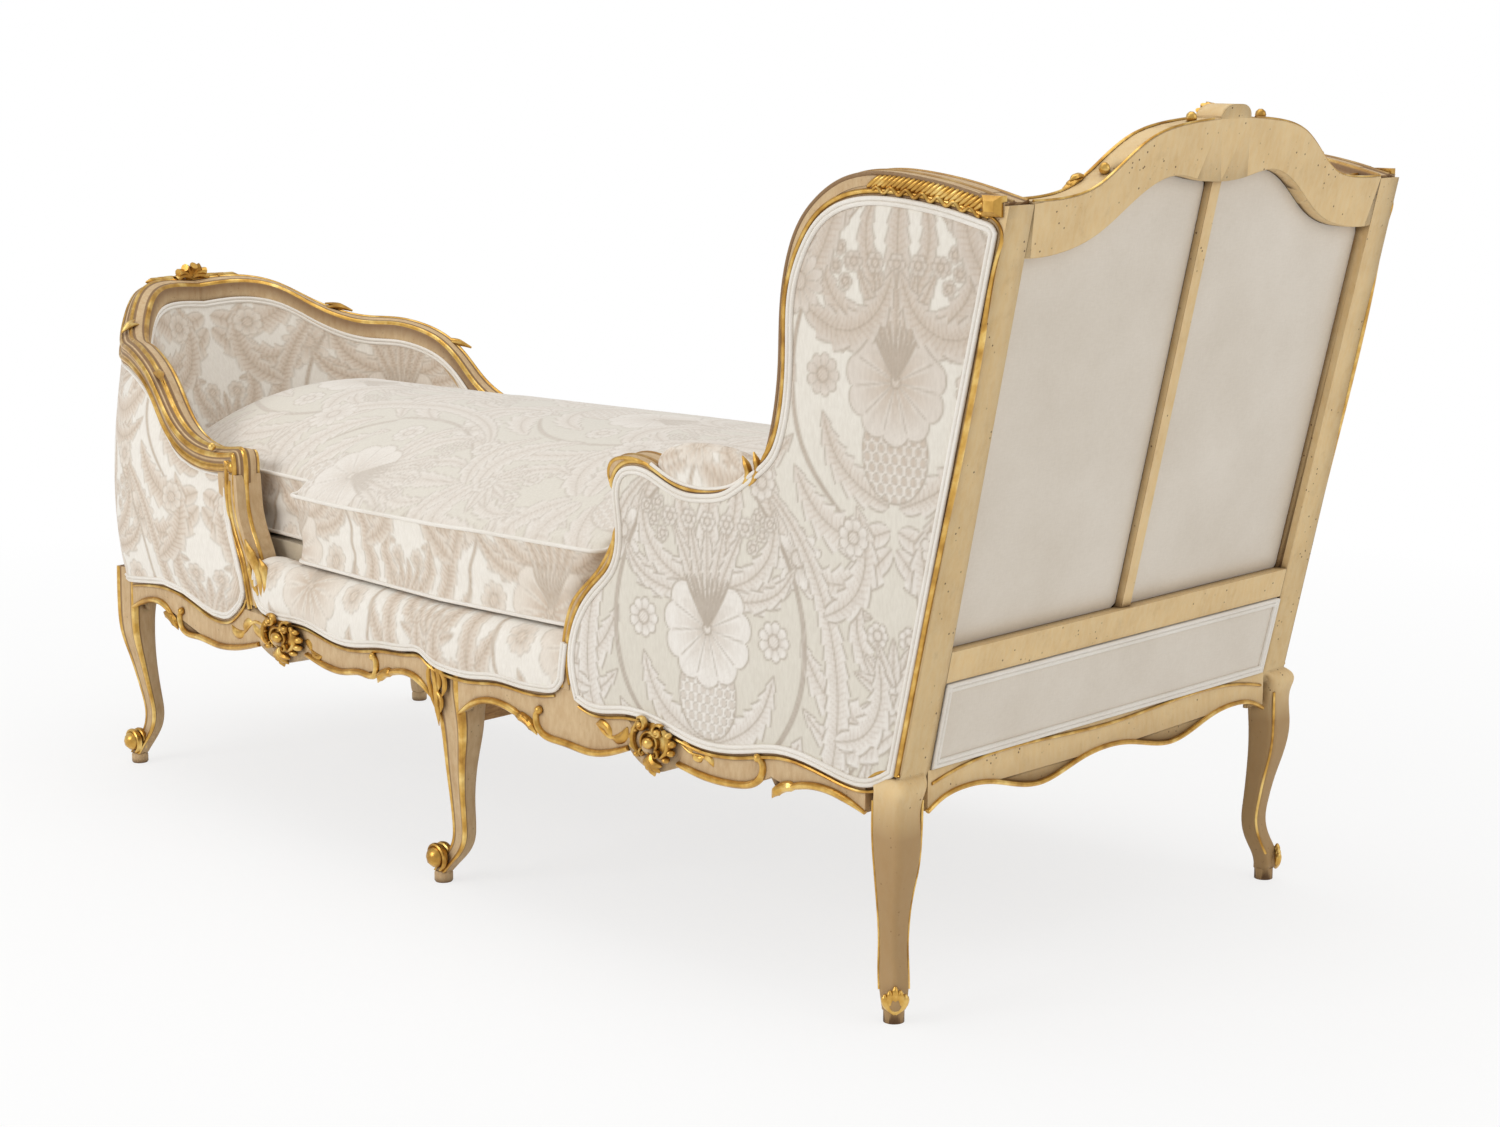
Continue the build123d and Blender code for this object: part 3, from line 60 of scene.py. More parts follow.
post_width_low = 52.0
post_width_high = 42.0
foot_axis_share = 0.6775
foot_ellipse_reach = 485.0
foot_ellipse_set_in = 1.0
foot_rail_low = 513.0
foot_rail_high = 700.0
foot_rail_width = 44.0
foot_rail_depth = 34.0
crest_thickness = 36.0
back_pad_thickness = 55.0
side_pad_thickness = 32.0
back_rise = back_top - ledge_height
rake = back_rake_run / back_rise
side_slant = side_half - end_half
ellipse_offset = foot_span * foot_axis_share
ellipse_half = side_half - side_slant * ellipse_offset / foot_span - foot_ellipse_set_in
x_middle = (ellipse_offset + foot_ellipse_reach - head_span - rake * (ornament_top - ledge_height)) / 2
x_ledge = x_middle + head_span
x_end = x_middle - foot_span
foot_axis_x = x_middle - ellipse_offset
side_length = math.hypot(foot_span, side_slant)
along = np.array([-foot_span, side_slant, 0]) / side_length
inward = np.array([side_slant, foot_span, 0]) / side_length
UP = np.array([0.0, 0.0, 1.0])


# Points of the frame

def head_point(u, z, inset):
    """Left head side: u from the middle legs towards the back."""
    return np.array([x_middle + u, -side_half + inset, z])


def foot_point(v, z, inset):
    """Left foot side: v along the slanting side from the middle legs."""
    return np.array([x_middle, -side_half, z]) + along * v + inward * inset


def side_point(run, z, inset):
    """Either side of the middle leg: run is positive towards the head."""
    if run >= 0:
        return head_point(run, z, inset)
    return foot_point(-run, z, inset)


def back_point(y, z, inset):
    return np.array([x_ledge + rake * (z - ledge_height) - inset, y, z])


def head_z(share):
    return ledge_height + back_rise * share


def rail_height(share):
    return foot_rail_low + (foot_rail_high - foot_rail_low) * share


def support_height(share):
    return rail_top + (foot_rail_low - rail_top) * share


def quarter(share):
    return share * math.pi / 2


def rail_radius(angle):
    return 1 / math.hypot(math.sin(angle) / foot_ellipse_reach, math.cos(angle) / ellipse_half)


bow_power = 3.0
bow_centre_x = x_end + foot_span * 0.13
bow_reach = bow_centre_x - x_end + end_bow
bow_half = end_half * 1.04


def bow_x(y, inset=0.0):
    share = min(1.0, abs(y) / (bow_half - inset))
    return bow_centre_x - (bow_reach - inset) * (1 - share ** bow_power) ** (1 / bow_power)


def seat_inside(x, y):
    if y > side_half - side_slant * (x_middle - x) / foot_span:
        return False
    if x > bow_centre_x:
        return True
    return ((bow_centre_x - x) / bow_reach) ** bow_power + (y / bow_half) ** bow_power < 1


def seat_radius(angle):
    """Distance from the foot axis to the seat rails' outer line, by halving."""
    low, high = 0.0, foot_ellipse_reach
    for _ in range(24):
        middle = (low + high) / 2
        if seat_inside(foot_axis_x - middle * math.sin(angle), middle * math.cos(angle)):
            low = middle
        else:
            high = middle
    return low


def radial(angle, radius, z):
    return np.array([foot_axis_x - radius * math.sin(angle), -radius * math.cos(angle), z])


# Curves

def read_columns(wanted, at, table):
    """Every column of a table read at wanted places."""
    return np.stack([np.interp(wanted, at, column) for column in np.asarray(table).T], axis=1)


def resample(points, step, closed=False):
    """Points at an even spacing along a polyline."""
    points = np.asarray(points, float)
    if closed:
        points = np.vstack([points, points[:1]])
    lengths = np.linalg.norm(np.diff(points, axis=0), axis=1)
    at = np.concatenate([[0], np.cumsum(lengths)])
    count = max(2, int(round(at[-1] / step)) + 1)
    wanted = np.linspace(0, at[-1], count)
    out = read_columns(wanted, at, points)
    return out[:-1] if closed else out


def smooth(points, step, fine=12):
    """A natural cubic curve through the points, sampled at an even step."""
    p = np.asarray(points, float)
    if len(p) < 3:
        return resample(p, step)
    chord = np.linalg.norm(np.diff(p, axis=0), axis=1)
    t = np.concatenate([[0], np.cumsum(chord)])
    n = len(p)
    system = np.zeros((n, n))
    right = np.zeros((n, p.shape[1]))
    system[0, 0] = system[-1, -1] = 1
    for i in range(1, n - 1):
        before, after = t[i] - t[i - 1], t[i + 1] - t[i]
        system[i, i - 1:i + 2] = before, 2 * (before + after), after
        right[i] = 6 * ((p[i + 1] - p[i]) / after - (p[i] - p[i - 1]) / before)
    bend = np.linalg.solve(system, right)
    out = []
    for i in range(n - 1):
        h = t[i + 1] - t[i]
        a = np.linspace(0, 1, fine, endpoint=i == n - 2)[:, None]
        b = 1 - a
        out.append(b * p[i] + a * p[i + 1]
                   + ((b ** 3 - b) * bend[i] + (a ** 3 - a) * bend[i + 1]) * h * h / 6)
    return resample(np.vstack(out), step)


def chain(runs, step):
    """Smooth runs joined end to end, with their corners kept."""
    return np.vstack([smooth(run, step)[:-1] for run in runs[:-1]] + [smooth(runs[-1], step)])


def offset_line(points, distance, closed=False):
    """A plane polyline moved sideways, to the left of its direction."""
    p = np.asarray(points, float)
    if closed:
        ahead = np.roll(p, -1, axis=0) - np.roll(p, 1, axis=0)
    else:
        ahead = np.gradient(p, axis=0)
    normal = np.stack([-ahead[:, 1], ahead[:, 0]], axis=1)
    normal /= np.linalg.norm(normal, axis=1)[:, None] + 1e-9
    return p + normal * distance


def unit(v):
    v = np.asarray(v, float)
    return v / (np.linalg.norm(v, axis=-1, keepdims=True) + 1e-12)


# The damask figure, drawn once over a repeat of two axes with a half drop and read by every cover

axis_spacing = 280.0
repeat_height = 620.0
weave_pitch = 1.0


def draw_repeat():
    """Figure, outline and dark ground of the figure over one repeat, each from 0 to 1."""
    rows = int(repeat_height / weave_pitch)
    columns = int(2 * axis_spacing / weave_pitch)
    figure = np.zeros((rows, columns))
    line = np.zeros((rows, columns))
    dark = np.zeros((rows, columns))

    def window(cu, cv, reach):
        """Indexes and local coordinates of the cells round a point, wrapped at the repeat."""
        iu = np.arange(int(cu - reach), int(cu + reach) + 1)
        iv = np.arange(int(cv - reach), int(cv + reach) + 1)
        u, v = np.meshgrid(iu - cu, iv - cv)
        return np.ix_(iv % rows, iu % columns), u.astype(float), v.astype(float)

    def ink(cells, mask, edge, shade):
        """Lays a shape over what is there, with its outline and its shading."""
        figure[cells] = np.maximum(figure[cells], mask)
        line[cells] = np.maximum(line[cells] * (1 - 0.85 * mask), edge)
        dark[cells] = dark[cells] * (1 - mask) + shade * mask

    def step_in(d):
        return np.clip(0.5 - d / 1.2, 0, 1)

    def flower(cu, cv, radius, petals, core, turn=0.0, deep=0.22):
        cells, u, v = window(cu, cv, radius * 1.2)
        r, a = np.hypot(u, v), np.arctan2(v, u) + turn
        rim = radius * (1 - deep + deep * np.abs(np.cos(a * petals / 2)) ** 0.6)
        edge = np.exp(-((r - rim) / 1.3) ** 2)
        rib = np.exp(-((np.abs(np.sin(a * petals / 2 + math.pi / 2)) * r / petals * 2) / 1.2) ** 2)
        rib = rib * (r > radius * core) * (r < rim * 0.9)
        ring = np.exp(-((r - radius * core) / 1.2) ** 2)
        shade = np.clip(1.3 - r / (radius * 0.62), 0, 1) * (np.cos(a * petals) > -0.3)
        seed = 0.5 + 0.5 * np.cos(u * 1.3) * np.cos(v * 1.3)
        shade = np.where(r < radius * core, seed, shade * 0.9)
        ink(cells, step_in(r - rim), np.clip(edge + 0.8 * rib + ring, 0, 1), shade)

    def leaf(points, width, teeth, tooth):
        """A serrated leaf or a long band along a curve, with a midrib and hatched veins."""
        path = smooth(points, 2.0)
        centre = path.mean(axis=0)
        reach = np.abs(path - centre).max() + width * 1.4
        cells, u, v = window(centre[0], centre[1], reach)
        at = np.stack([u + centre[0], v + centre[1]], axis=-1).reshape(-1, 2)
        tangent = unit(np.gradient(path, axis=0))
        gap = ((at[:, None, :] - path[None, :, :]) ** 2).sum(-1)
        nearest = gap.argmin(axis=1)
        rel = at - path[nearest]
        side = tangent[nearest, 0] * rel[:, 1] - tangent[nearest, 1] * rel[:, 0]
        ahead = (tangent[nearest] * rel).sum(-1)
        last = len(path) - 1
        share = np.clip((nearest + ahead / 2.0) / last, 0, 1)
        beyond = np.maximum(0, np.abs(nearest + ahead / 2.0 - last / 2) - last / 2) * 2.0
        out = np.abs(side)
        half = width * np.sin(math.pi * share ** 0.75) ** 0.7
        half = half * (1 - tooth * ((share * teeth - out / (width * 2.2)) % 1.0))
        d = np.hypot(np.maximum(out - half, 0), beyond) + np.minimum(out - half, 0)
        edge = np.exp(-(d / 1.3) ** 2)
        rib = np.exp(-(side / 1.2) ** 2) * (share < 0.94) * (d < 0)
        vein = (share * teeth * 3 - out / width * 1.5) % 1.0 < 0.32
        vein = vein * (out < half * 0.72) * (share > 0.08) * (share < 0.92)
        shade = np.clip(1.25 - out / (half + 0.1) * 1.3, 0, 1) * 0.55 + vein * 0.45
        shape = cells[0].size, cells[1].size
        ink(cells, *(a.reshape(shape) for a in (step_in(d), np.clip(edge + rib * 0.8, 0, 1), shade)))

    def berries(cu, cv, wide, tall):
        """A scaled fruit: drop-shaped scales in staggered rows."""
        cells, u, v = window(cu, cv, max(wide, tall) * 1.15)
        d = (np.hypot(u / wide, v / tall) - 1) * min(wide, tall)
        row = np.floor(v / 11.0)
        su = (u / 13.0 + 0.5 * (row % 2)) % 1.0 - 0.5
        sv = (v / 11.0) % 1.0 - 0.5
        scale = np.hypot(su * 1.5, sv * 1.15 + 0.05)
        mask = step_in(d)
        edge = np.exp(-(d / 1.2) ** 2) + mask * np.exp(-((scale - 0.52) / 0.07) ** 2)
        ink(cells, mask, np.clip(edge, 0, 1), (scale < 0.45) * mask)

    # Leaves on both sides of the stem: points, width, teeth and their depth
    pair_leaves = [
        ([(30, -66), (112, -46), (182, 40), (200, 160), (166, 280), (110, 356), (60, 392)], 20, 30, 0.22),
        ([(58, 30), (132, 110), (150, 210), (120, 300), (40, 396)], 2.6, 3, 0.0),
        ([(150, -40), (206, -64), (250, -44), (276, 6)], 26, 8, 0.34),
        ([(196, 96), (236, 108), (262, 150), (258, 204)], 22, 7, 0.34),
        ([(180, 236), (222, 262), (240, 312), (226, 366)], 22, 7, 0.34),
        ([(4, 14), (50, -26), (106, -34), (150, -10)], 24, 7, 0.34),
        ([(6, 34), (62, 20), (112, 44), (146, 92)], 27, 8, 0.34),
        ([(8, 60), (46, 76), (84, 108), (104, 156)], 22, 7, 0.34),
        ([(6, 250), (30, 300), (44, 352), (30, 404)], 16, 7, 0.30),
        ([(14, 244), (66, 262), (100, 300), (104, 348)], 18, 7, 0.30),
        ([(10, 236), (64, 236), (112, 254), (138, 288)], 15, 6, 0.30),
        ([(0, 452), (50, 436), (98, 458), (134, 514)], 26, 8, 0.34),
        ([(0, 430), (44, 402), (92, 404), (132, 436)], 20, 6, 0.34),
        ([(6, 470), (34, 500), (52, 540), (44, 582)], 17, 6, 0.30)]
    pair_flowers = [(104, 196, 24, 9, 0.34), (140, -14, 37, 12, 0.26, 0.2, 0.40),
            (84, 376, 21, 8, 0.36), (22, 536, 15, 7, 0.4), (222, 330, 22, 8, 0.34, 0.3)]
    for column in range(2):
        cu = axis_spacing * (column + 0.5)
        drop = repeat_height / 2 * column + 90.0
        for sign in (1, -1):
            for points, width, teeth, tooth in pair_leaves:
                leaf([(cu + sign * u, drop + v) for u, v in points], width, teeth, tooth)
            for u, v, *form in pair_flowers:
                flower(cu + sign * u, drop + v, *form)
            for k, (u, v) in enumerate([(72, 300), (86, 316), (66, 322), (80, 336), (98, 330)]):
                flower(cu + sign * u, drop + v, 9.5, 5, 0.45, k)
        leaf([(cu, drop + 250), (cu + 1, drop + 320), (cu, drop + 420)], 20, 8, 0.25)
        berries(cu, drop + 118, 46, 54)
        flower(cu, drop + 196, 70, 11, 0.09, math.pi / 2, 0.13)
        for k in range(-2, 3):
            leaf([(cu + 8 * k, drop + 240), (cu + 18 * k, drop + 280), (cu + 28 * k, drop + 318)],
                 11, 5, 0.3)
            flower(cu + 30 * k, drop + 322, 12, 6, 0.4)
        for k in range(-4, 5):
            leaf([(cu, drop + 198), (cu + 4 * k, drop + 222), (cu + 9 * k, drop + 256)], 2.2, 2, 0)
        for k in range(-3, 4):
            tip = math.radians(90 + 24 * k)
            leaf([(cu, drop + 470), (cu + 30 * math.cos(tip), drop + 470 + 34 * math.sin(tip)),
                  (cu + 58 * math.cos(tip), drop + 470 + 66 * math.sin(tip))], 10, 3, 0.1)
        flower(cu, drop + 466, 17, 7, 0.4)
    return figure, line, dark


def read_repeat(uv, layer):
    """The layer of the repeat at plane places, wrapped and blended between its cells."""
    rows, columns = layer.shape
    u = uv[:, 0] / weave_pitch % columns
    v = uv[:, 1] / weave_pitch % rows
    iu, iv = np.floor(u).astype(int) % columns, np.floor(v).astype(int) % rows
    fu, fv = u - np.floor(u), v - np.floor(v)
    ju, jv = (iu + 1) % columns, (iv + 1) % rows
    return ((layer[iv, iu] * (1 - fu) + layer[iv, ju] * fu) * (1 - fv)
            + (layer[jv, iu] * (1 - fu) + layer[jv, ju] * fu) * fv)


repeat_layers = draw_repeat()


# Materials

def linear(code):
    """An sRGB hex value as the linear colour that a shader takes."""
    channels = [int(code[k:k + 2], 16) / 255 for k in (1, 3, 5)]
    return [c / 12.92 if c <= 0.04045 else ((c + 0.055) / 1.055) ** 2.4 for c in channels] + [1.0]


def add(tree, kind, links=(), **settings):
    """Adds a node, sets its sockets and properties and links what feeds it."""
    made = tree.nodes.new(kind)
    for name, value in settings.items():
        if hasattr(made, name):
            setattr(made, name, value)
    for target, source in dict(links).items():
        socket = made.inputs[target]
        if isinstance(source, bpy.types.NodeSocket):
            tree.links.new(source, socket)
        else:
            socket.default_value = source
    return made


def ramp(tree, source, stops):
    """A colour read from stops of (place, sRGB hex)."""
    made = add(tree, "ShaderNodeValToRGB", {"Fac": source})
    while len(made.color_ramp.elements) < len(stops):
        made.color_ramp.elements.new(0.5)
    for element, (place, code) in zip(made.color_ramp.elements, stops):
        element.position = place
        element.color = linear(code)
    return made.outputs["Color"]


def between(tree, source, low, high):
    """Black below one value and white above the other."""
    return ramp(tree, source, [(low, "#000000"), (high, "#ffffff")])


def blank(name):
    """A new material, its node tree and the coordinates in metres on the piece."""
    material = bpy.data.materials.new(name)
    material.use_nodes = True
    tree = material.node_tree
    tree.nodes.clear()
    return material, tree, add(tree, "ShaderNodeTexCoord").outputs["Object"]


def surface(tree, relief=None, **sockets):
    """The material's shader. Relief is (height, strength, depth in mm)."""
    links = {name.replace("_", " ").title().replace("Ior", "IOR"): source
             for name, source in sockets.items()}
    if relief:
        height, strength, depth = relief
        bump = add(tree, "ShaderNodeBump", {"Height": height, "Strength": strength, "Distance": depth * MM})
        links["Normal"] = bump.outputs["Normal"]
    shader = add(tree, "ShaderNodeBsdfPrincipled", links)
    add(tree, "ShaderNodeOutputMaterial", {"Surface": shader.outputs["BSDF"]})


def carried(tree, name):
    """A value that the mesh carries at its points."""
    return add(tree, "ShaderNodeAttribute", attribute_name=name).outputs["Fac"]


def noise(tree, vector, period_mm, detail, rough=0.55, stretch=(1, 1, 1)):
    """Noise whose features are about so many millimetres wide."""
    scaled = add(tree, "ShaderNodeMapping", {"Vector": vector, "Scale": stretch})
    made = add(tree, "ShaderNodeTexNoise", {"Vector": scaled.outputs["Vector"],
            "Scale": 1 / (period_mm * MM), "Detail": detail, "Roughness": rough})
    return made.outputs["Fac"]


def blend(tree, factor, *colours, mode="MIX"):
    """Two colours mixed, each a socket or an sRGB hex value."""
    a, b = (linear(colour) if isinstance(colour, str) else colour for colour in colours)
    made = add(tree, "ShaderNodeMix", {0: factor, 6: a, 7: b}, data_type="RGBA", blend_type=mode)
    return made.outputs[2]


def reckon(tree, operation, a, b):
    return add(tree, "ShaderNodeMath", {0: a, 1: b}, operation=operation).outputs["Value"]


def times(tree, a, b):
    return reckon(tree, "MULTIPLY", a, b)


def plus(tree, a, b):
    return reckon(tree, "ADD", a, b)


def minus(tree, a, b):
    return reckon(tree, "SUBTRACT", a, b)


def painted_gilt(name, light, dark, specks, always_gilt=0.0, low_darkening=0.0):
    """Gesso and distemper over carved beech, rubbed back, with water gilding where the gilt
    attribute says that the leaf lies. Specks are worm holes; low darkening browns the legs, darker towards
    the bottom."""
    material, tree, place = blank(name)
    # Clouded paint, rubbed pale along the grain and stained in patches
    cloud = noise(tree, place, 60, 5.0, 0.6)
    streak = noise(tree, place, 7, 6.0, 0.65, (1, 1, 0.35))
    paint = blend(tree, times(tree, cloud, 1.1), dark, light)
    paint = blend(tree, times(tree, between(tree, streak, 0.34, 0.62), 0.35), paint, "#E9D5AC")
    stain = ramp(tree, noise(tree, place, 24, 6.0, 0.7), [(0.56, "#000000"), (0.80, "#777777")])
    paint = blend(tree, stain, paint, "#7F5C34")
    if specks:
        worm = add(tree, "ShaderNodeTexVoronoi", {"Vector": place, "Scale": 1 / (9 * MM)})
        hole = ramp(tree, worm.outputs["Distance"], [(0.10, "#ffffff"), (0.15, "#000000")])
        rare = between(tree, noise(tree, place, 40, 2.0), 0.50, 0.58)
        paint = blend(tree, times(tree, hole, times(tree, rare, specks)), paint, "#5A3B1C")
    # Darker towards the bottom, below the seat rail
    if low_darkening:
        height = add(tree, "ShaderNodeSeparateXYZ", {"Vector": place}).outputs["Z"]
        low = add(tree, "ShaderNodeMapRange", {"Value": height, "From Min": 270 * MM,
                "From Max": 215 * MM, "To Max": low_darkening})
        paint = blend(tree, low.outputs["Result"], paint, "#A07C4E")
    # The leaf, worn in spots, with a brown line where it ends: antiquing with painted shade beside the bead
    wear = noise(tree, place, 5, 5.0, 0.7)
    kept = ramp(tree, wear, [(0.24, "#777777"), (0.34, "#ffffff")])
    if always_gilt:
        mask = times(tree, kept, always_gilt)
    else:
        gilt = carried(tree, "gilt")
        mask = times(tree, between(tree, gilt, 0.55, 0.75), kept)
        paint = blend(tree, times(tree, between(tree, gilt, 0.05, 0.35), 0.75), paint, "#6E481F")
    leaf = ramp(tree, noise(tree, place, 26, 3.0), [(0.30, "#AF803A"), (0.50, "#D6A854"),
            (0.70, "#F5D485")])
    colour = blend(tree, mask, paint, leaf)
    # Painted shade and grime in the hollows, from ambient occlusion, less of it on the gold
    hollow = add(tree, "ShaderNodeAmbientOcclusion", {"Distance": 14 * MM}, samples=6)
    grime_and_shade = ramp(tree, hollow.outputs["AO"], [(0.35, "#ffffff"), (0.88, "#000000")])
    grime_and_shade_share = times(tree, grime_and_shade, minus(tree, 0.85, times(tree, mask, 0.45)))
    surface(tree, (plus(tree, streak, wear), 0.14, 0.5), base_color=blend(tree, grime_and_shade_share, colour, "#55330F"),
          metallic=times(tree, mask, 0.86), roughness=minus(tree, 0.58, times(tree, mask, 0.27)), ior=1.48)
    return material


def damask_cloth():
    """Silk damask: a satin ground that shines and a matt figure with drawn outlines."""
    material, tree, place = blank("silk_damask")
    figure, line, dark, turned = (carried(tree, name)
            for name in ("figure", "outline", "shading", "turned"))
    haze = noise(tree, place, 120, 2.0)
    # Painted sheen: where it is high the figure is painted tan on a bright ground, where it is low bright
    # on a dull one, as the light falls on each piece
    ground = blend(tree, turned, "#E3DDD0", "#F5F0E7")
    motif = ramp(tree, turned, [(0.0, "#F6F2EC"), (0.35, "#EDE6DD"), (0.62, "#DACEC1"), (0.95, "#EEE4D7")])
    motif = blend(tree, times(tree, haze, 0.4), motif, "#EAE4DB")
    colour = blend(tree, figure, ground, motif)
    deep = times(tree, dark, plus(tree, 0.46, times(tree, turned, 0.44)))
    colour = blend(tree, deep, colour, blend(tree, turned, "#C4B4A2", "#CDB8A2"))
    drawn = minus(tree, 0.66, times(tree, turned, 0.30))
    colour = blend(tree, times(tree, line, drawn), colour, "#9E8B74")
    slub = ramp(tree, noise(tree, place, 3.2, 3.0, 0.6, (1, 1, 0.3)), [(0.3, "#B8AB9A"), (0.7, "#FFFFFF")])
    thread = noise(tree, place, 0.9, 2.0)
    height = plus(tree, times(tree, figure, 0.55), times(tree, thread, 0.30))
    surface(tree, (minus(tree, height, times(tree, line, 0.7)), 0.55, 0.9),
          base_color=blend(tree, 0.16, colour, slub, mode="MULTIPLY"),
          roughness=plus(tree, 0.46, times(tree, figure, 0.30)), sheen_weight=0.25, sheen_roughness=0.4)
    return material


def woven(name, light, dark, pitch_mm, roughness, relief, folds=0.0):
    """A plain cloth: warp and weft at its pitch, drawn a little coarse so that they show."""
    material, tree, place = blank(name)
    warp = noise(tree, place, pitch_mm, 2.0, 0.5, (1, 1, 0.2))
    weft = noise(tree, place, pitch_mm, 2.0, 0.5, (0.2, 0.2, 1))
    weave = plus(tree, times(tree, warp, 0.5), times(tree, weft, 0.5))
    haze = noise(tree, place, 140, 3.0)
    tone = plus(tree, times(tree, haze, 0.6), times(tree, weave, 0.4))
    height = plus(tree, weave, times(tree, haze, folds)) if folds else weave
    surface(tree, (height, relief, 0.8), roughness=roughness, sheen_weight=0.15,
          base_color=blend(tree, between(tree, tone, 0.30, 0.70), dark, light))
    return material


def bare_beech():
    """Bare beech: close grain with short flecks."""
    material, tree, place = blank("bare_beech")
    grain = noise(tree, place, 4, 6.0, 0.6, (1, 0.12, 1))
    fleck = noise(tree, place, 2.2, 2.0, 0.5, (1, 0.4, 1))
    mixed = plus(tree, times(tree, grain, 0.7), times(tree, fleck, 0.3))
    surface(tree, (mixed, 0.2, 0.4), roughness=0.62,
          base_color=ramp(tree, mixed, [(0.30, "#8C6238"), (0.52, "#B98E5B"), (0.75, "#CFA876")]))
    return material


def old_steel():
    """Oiled steel wire and tacks, dulled by age."""
    material, tree, place = blank("oiled_steel")
    rust = noise(tree, place, 8, 5.0, 0.65)
    surface(tree, metallic=0.9, roughness=plus(tree, 0.32, times(tree, rust, 0.3)),
          base_color=ramp(tree, rust, [(0.40, "#6E6B66"), (0.62, "#7B6A58"), (0.80, "#6B4A30")]))
    return material


PAINT = painted_gilt("distemper_and_gilding", "#D6B78C", "#B28D60", 0.35)
POST_PAINT = painted_gilt("distemper_back", "#F3D49D", "#CBA66D", 1.0, 0.0, 0.8)
GILDING = painted_gilt("water_gilding", "#9A6A2A", "#7C4F1B", 0.0, 1.0)
DAMASK = damask_cloth()
SATIN = woven("ivory_satin", "#E6DDD0", "#D6CBBB", 2.0, 0.40, 0.06, 0.6)
PIPING = woven("silk_piping", "#F7F3EC", "#E4DCD0", 1.6, 0.55, 0.5)
CALICO = woven("calico", "#D8CDB9", "#C3B59C", 2.4, 0.85, 0.4)
JUTE = woven("jute_webbing", "#B5935F", "#7F6238", 3.5, 0.9, 0.9)
BEECH = bare_beech()
STEEL = old_steel()


# Meshes

def make_mesh(name, points, faces, layers=None, crease=40.0):
    """A mesh from points in millimetres, with values carried at its points."""
    mesh = bpy.data.meshes.new(name)
    points = np.asarray(points, float) * MM
    mesh.from_pydata(points.tolist(), [], [list(map(int, f)) for f in faces])
    for key, values in (layers or {}).items():
        layer = mesh.attributes.new(key, "FLOAT", "POINT")
        layer.data.foreach_set("value", np.asarray(values, np.float32))
    mesh.validate()
    mesh.polygons.foreach_set("use_smooth", [True] * len(mesh.polygons))
    mesh.set_sharp_from_angle(angle=math.radians(crease))
    mesh.update()
    return mesh


def show(mesh, name, material, slot, body="frame", replaced=(), fill=None):
    """Puts a finished mesh in the scene on its body."""
    made = bpy.data.objects.new(name, mesh)
    bpy.context.scene.collection.objects.link(made)
    mesh.materials.clear()
    mesh.materials.append(material)
    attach(made, body)
    if replaced:
        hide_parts(*replaced)
    return made


def mirrored_mesh(mesh, name):
    """A copy on the other side of the middle plane, with its faces still outwards."""
    twin = mesh.copy()
    twin.name = name
    work = bmesh.new()
    work.from_mesh(twin)
    for vertex in work.verts:
        vertex.co.y = -vertex.co.y
    bmesh.ops.reverse_faces(work, faces=work.faces)
    work.to_mesh(twin)
    work.free()
    return twin


def both_sides(mesh, stem, material, slot, replaced=(), fill=None):
    twin = mirrored_mesh(mesh, stem + "_right")
    for side, half in (("_left", mesh), ("_right", twin)):
        show(half, stem + side, material, slot, "frame", [n + side for n in replaced], fill)


def upholster(name, points, faces, layers, fill, sides=True):
    """A padded damask piece in the place of the construction's solid of the same name."""
    mesh = make_mesh(name, points, faces, layers)
    if sides:
        both_sides(mesh, name, DAMASK, "damask", [name], fill)
    else:
        show(mesh, name, DAMASK, "damask", replaced=[name], fill=fill)


def join_parts(parts):
    """Points, faces and layers of several parts as one."""
    points, faces, layers, start = [], [], {}, 0
    for part_points, part_faces, part_layers in parts:
        points.append(part_points)
        faces.extend([[i + start for i in f] for f in part_faces])
        for key, values in part_layers.items():
            layers.setdefault(key, []).append(values)
        start += len(part_points)
    return np.vstack(points), faces, {k: np.concatenate(v) for k, v in layers.items()}


def grid_faces(rows, columns, flip=False):
    faces = []
    for i in range(rows - 1):
        for j in range(columns - 1):
            a, b = i * columns + j, (i + 1) * columns + j
            quad = [a, a + 1, b + 1, b]
            faces.append(quad[::-1] if flip else quad)
    return faces


def tube_faces(rows, columns):
    """Faces of rings joined into a closed tube, with both of its ends."""
    faces = []
    for i in range(rows - 1):
        for j in range(columns):
            a, b = i * columns, (i + 1) * columns
            after = (j + 1) % columns
            faces.append([a + j, a + after, b + after, b + j])
    return faces + [list(range(columns)), list(range((rows - 1) * columns, rows * columns))[::-1]]


def facing_out(mesh):
    """Turns a closed mesh's faces outwards after joining what coincides."""
    work = bmesh.new()
    work.from_mesh(mesh)
    bmesh.ops.remove_doubles(work, verts=work.verts, dist=0.02 * MM)
    bmesh.ops.recalc_face_normals(work, faces=work.faces)
    work.to_mesh(mesh)
    work.free()
    return mesh


def damask_layers(uv, turned=1.0, strength=1.0):
    """The cloth's layers at plane places. Painted sheen is how far the figure is painted tan on a
    bright ground instead of bright on a dull one, as the light takes it."""
    figure, line, dark = (read_repeat(np.asarray(uv, float), layer) for layer in repeat_layers)
    return {"figure": figure, "outline": line * strength, "shading": dark * strength,
            "turned": np.broadcast_to(turned, figure.shape)}


# Geometry Nodes: round cords along paths, and slanting flutes set side by side along a path

def new_tree(name, sockets):
    """A node tree with its inputs, and the outputs of their node."""
    tree = bpy.data.node_groups.new(name, "GeometryNodeTree")
    for label, kind in sockets:
        tree.interface.new_socket(label, in_out="INPUT", socket_type="NodeSocket" + kind)
    tree.interface.new_socket("Made", in_out="OUTPUT", socket_type="NodeSocketGeometry")
    return tree, add(tree, "NodeGroupInput").outputs


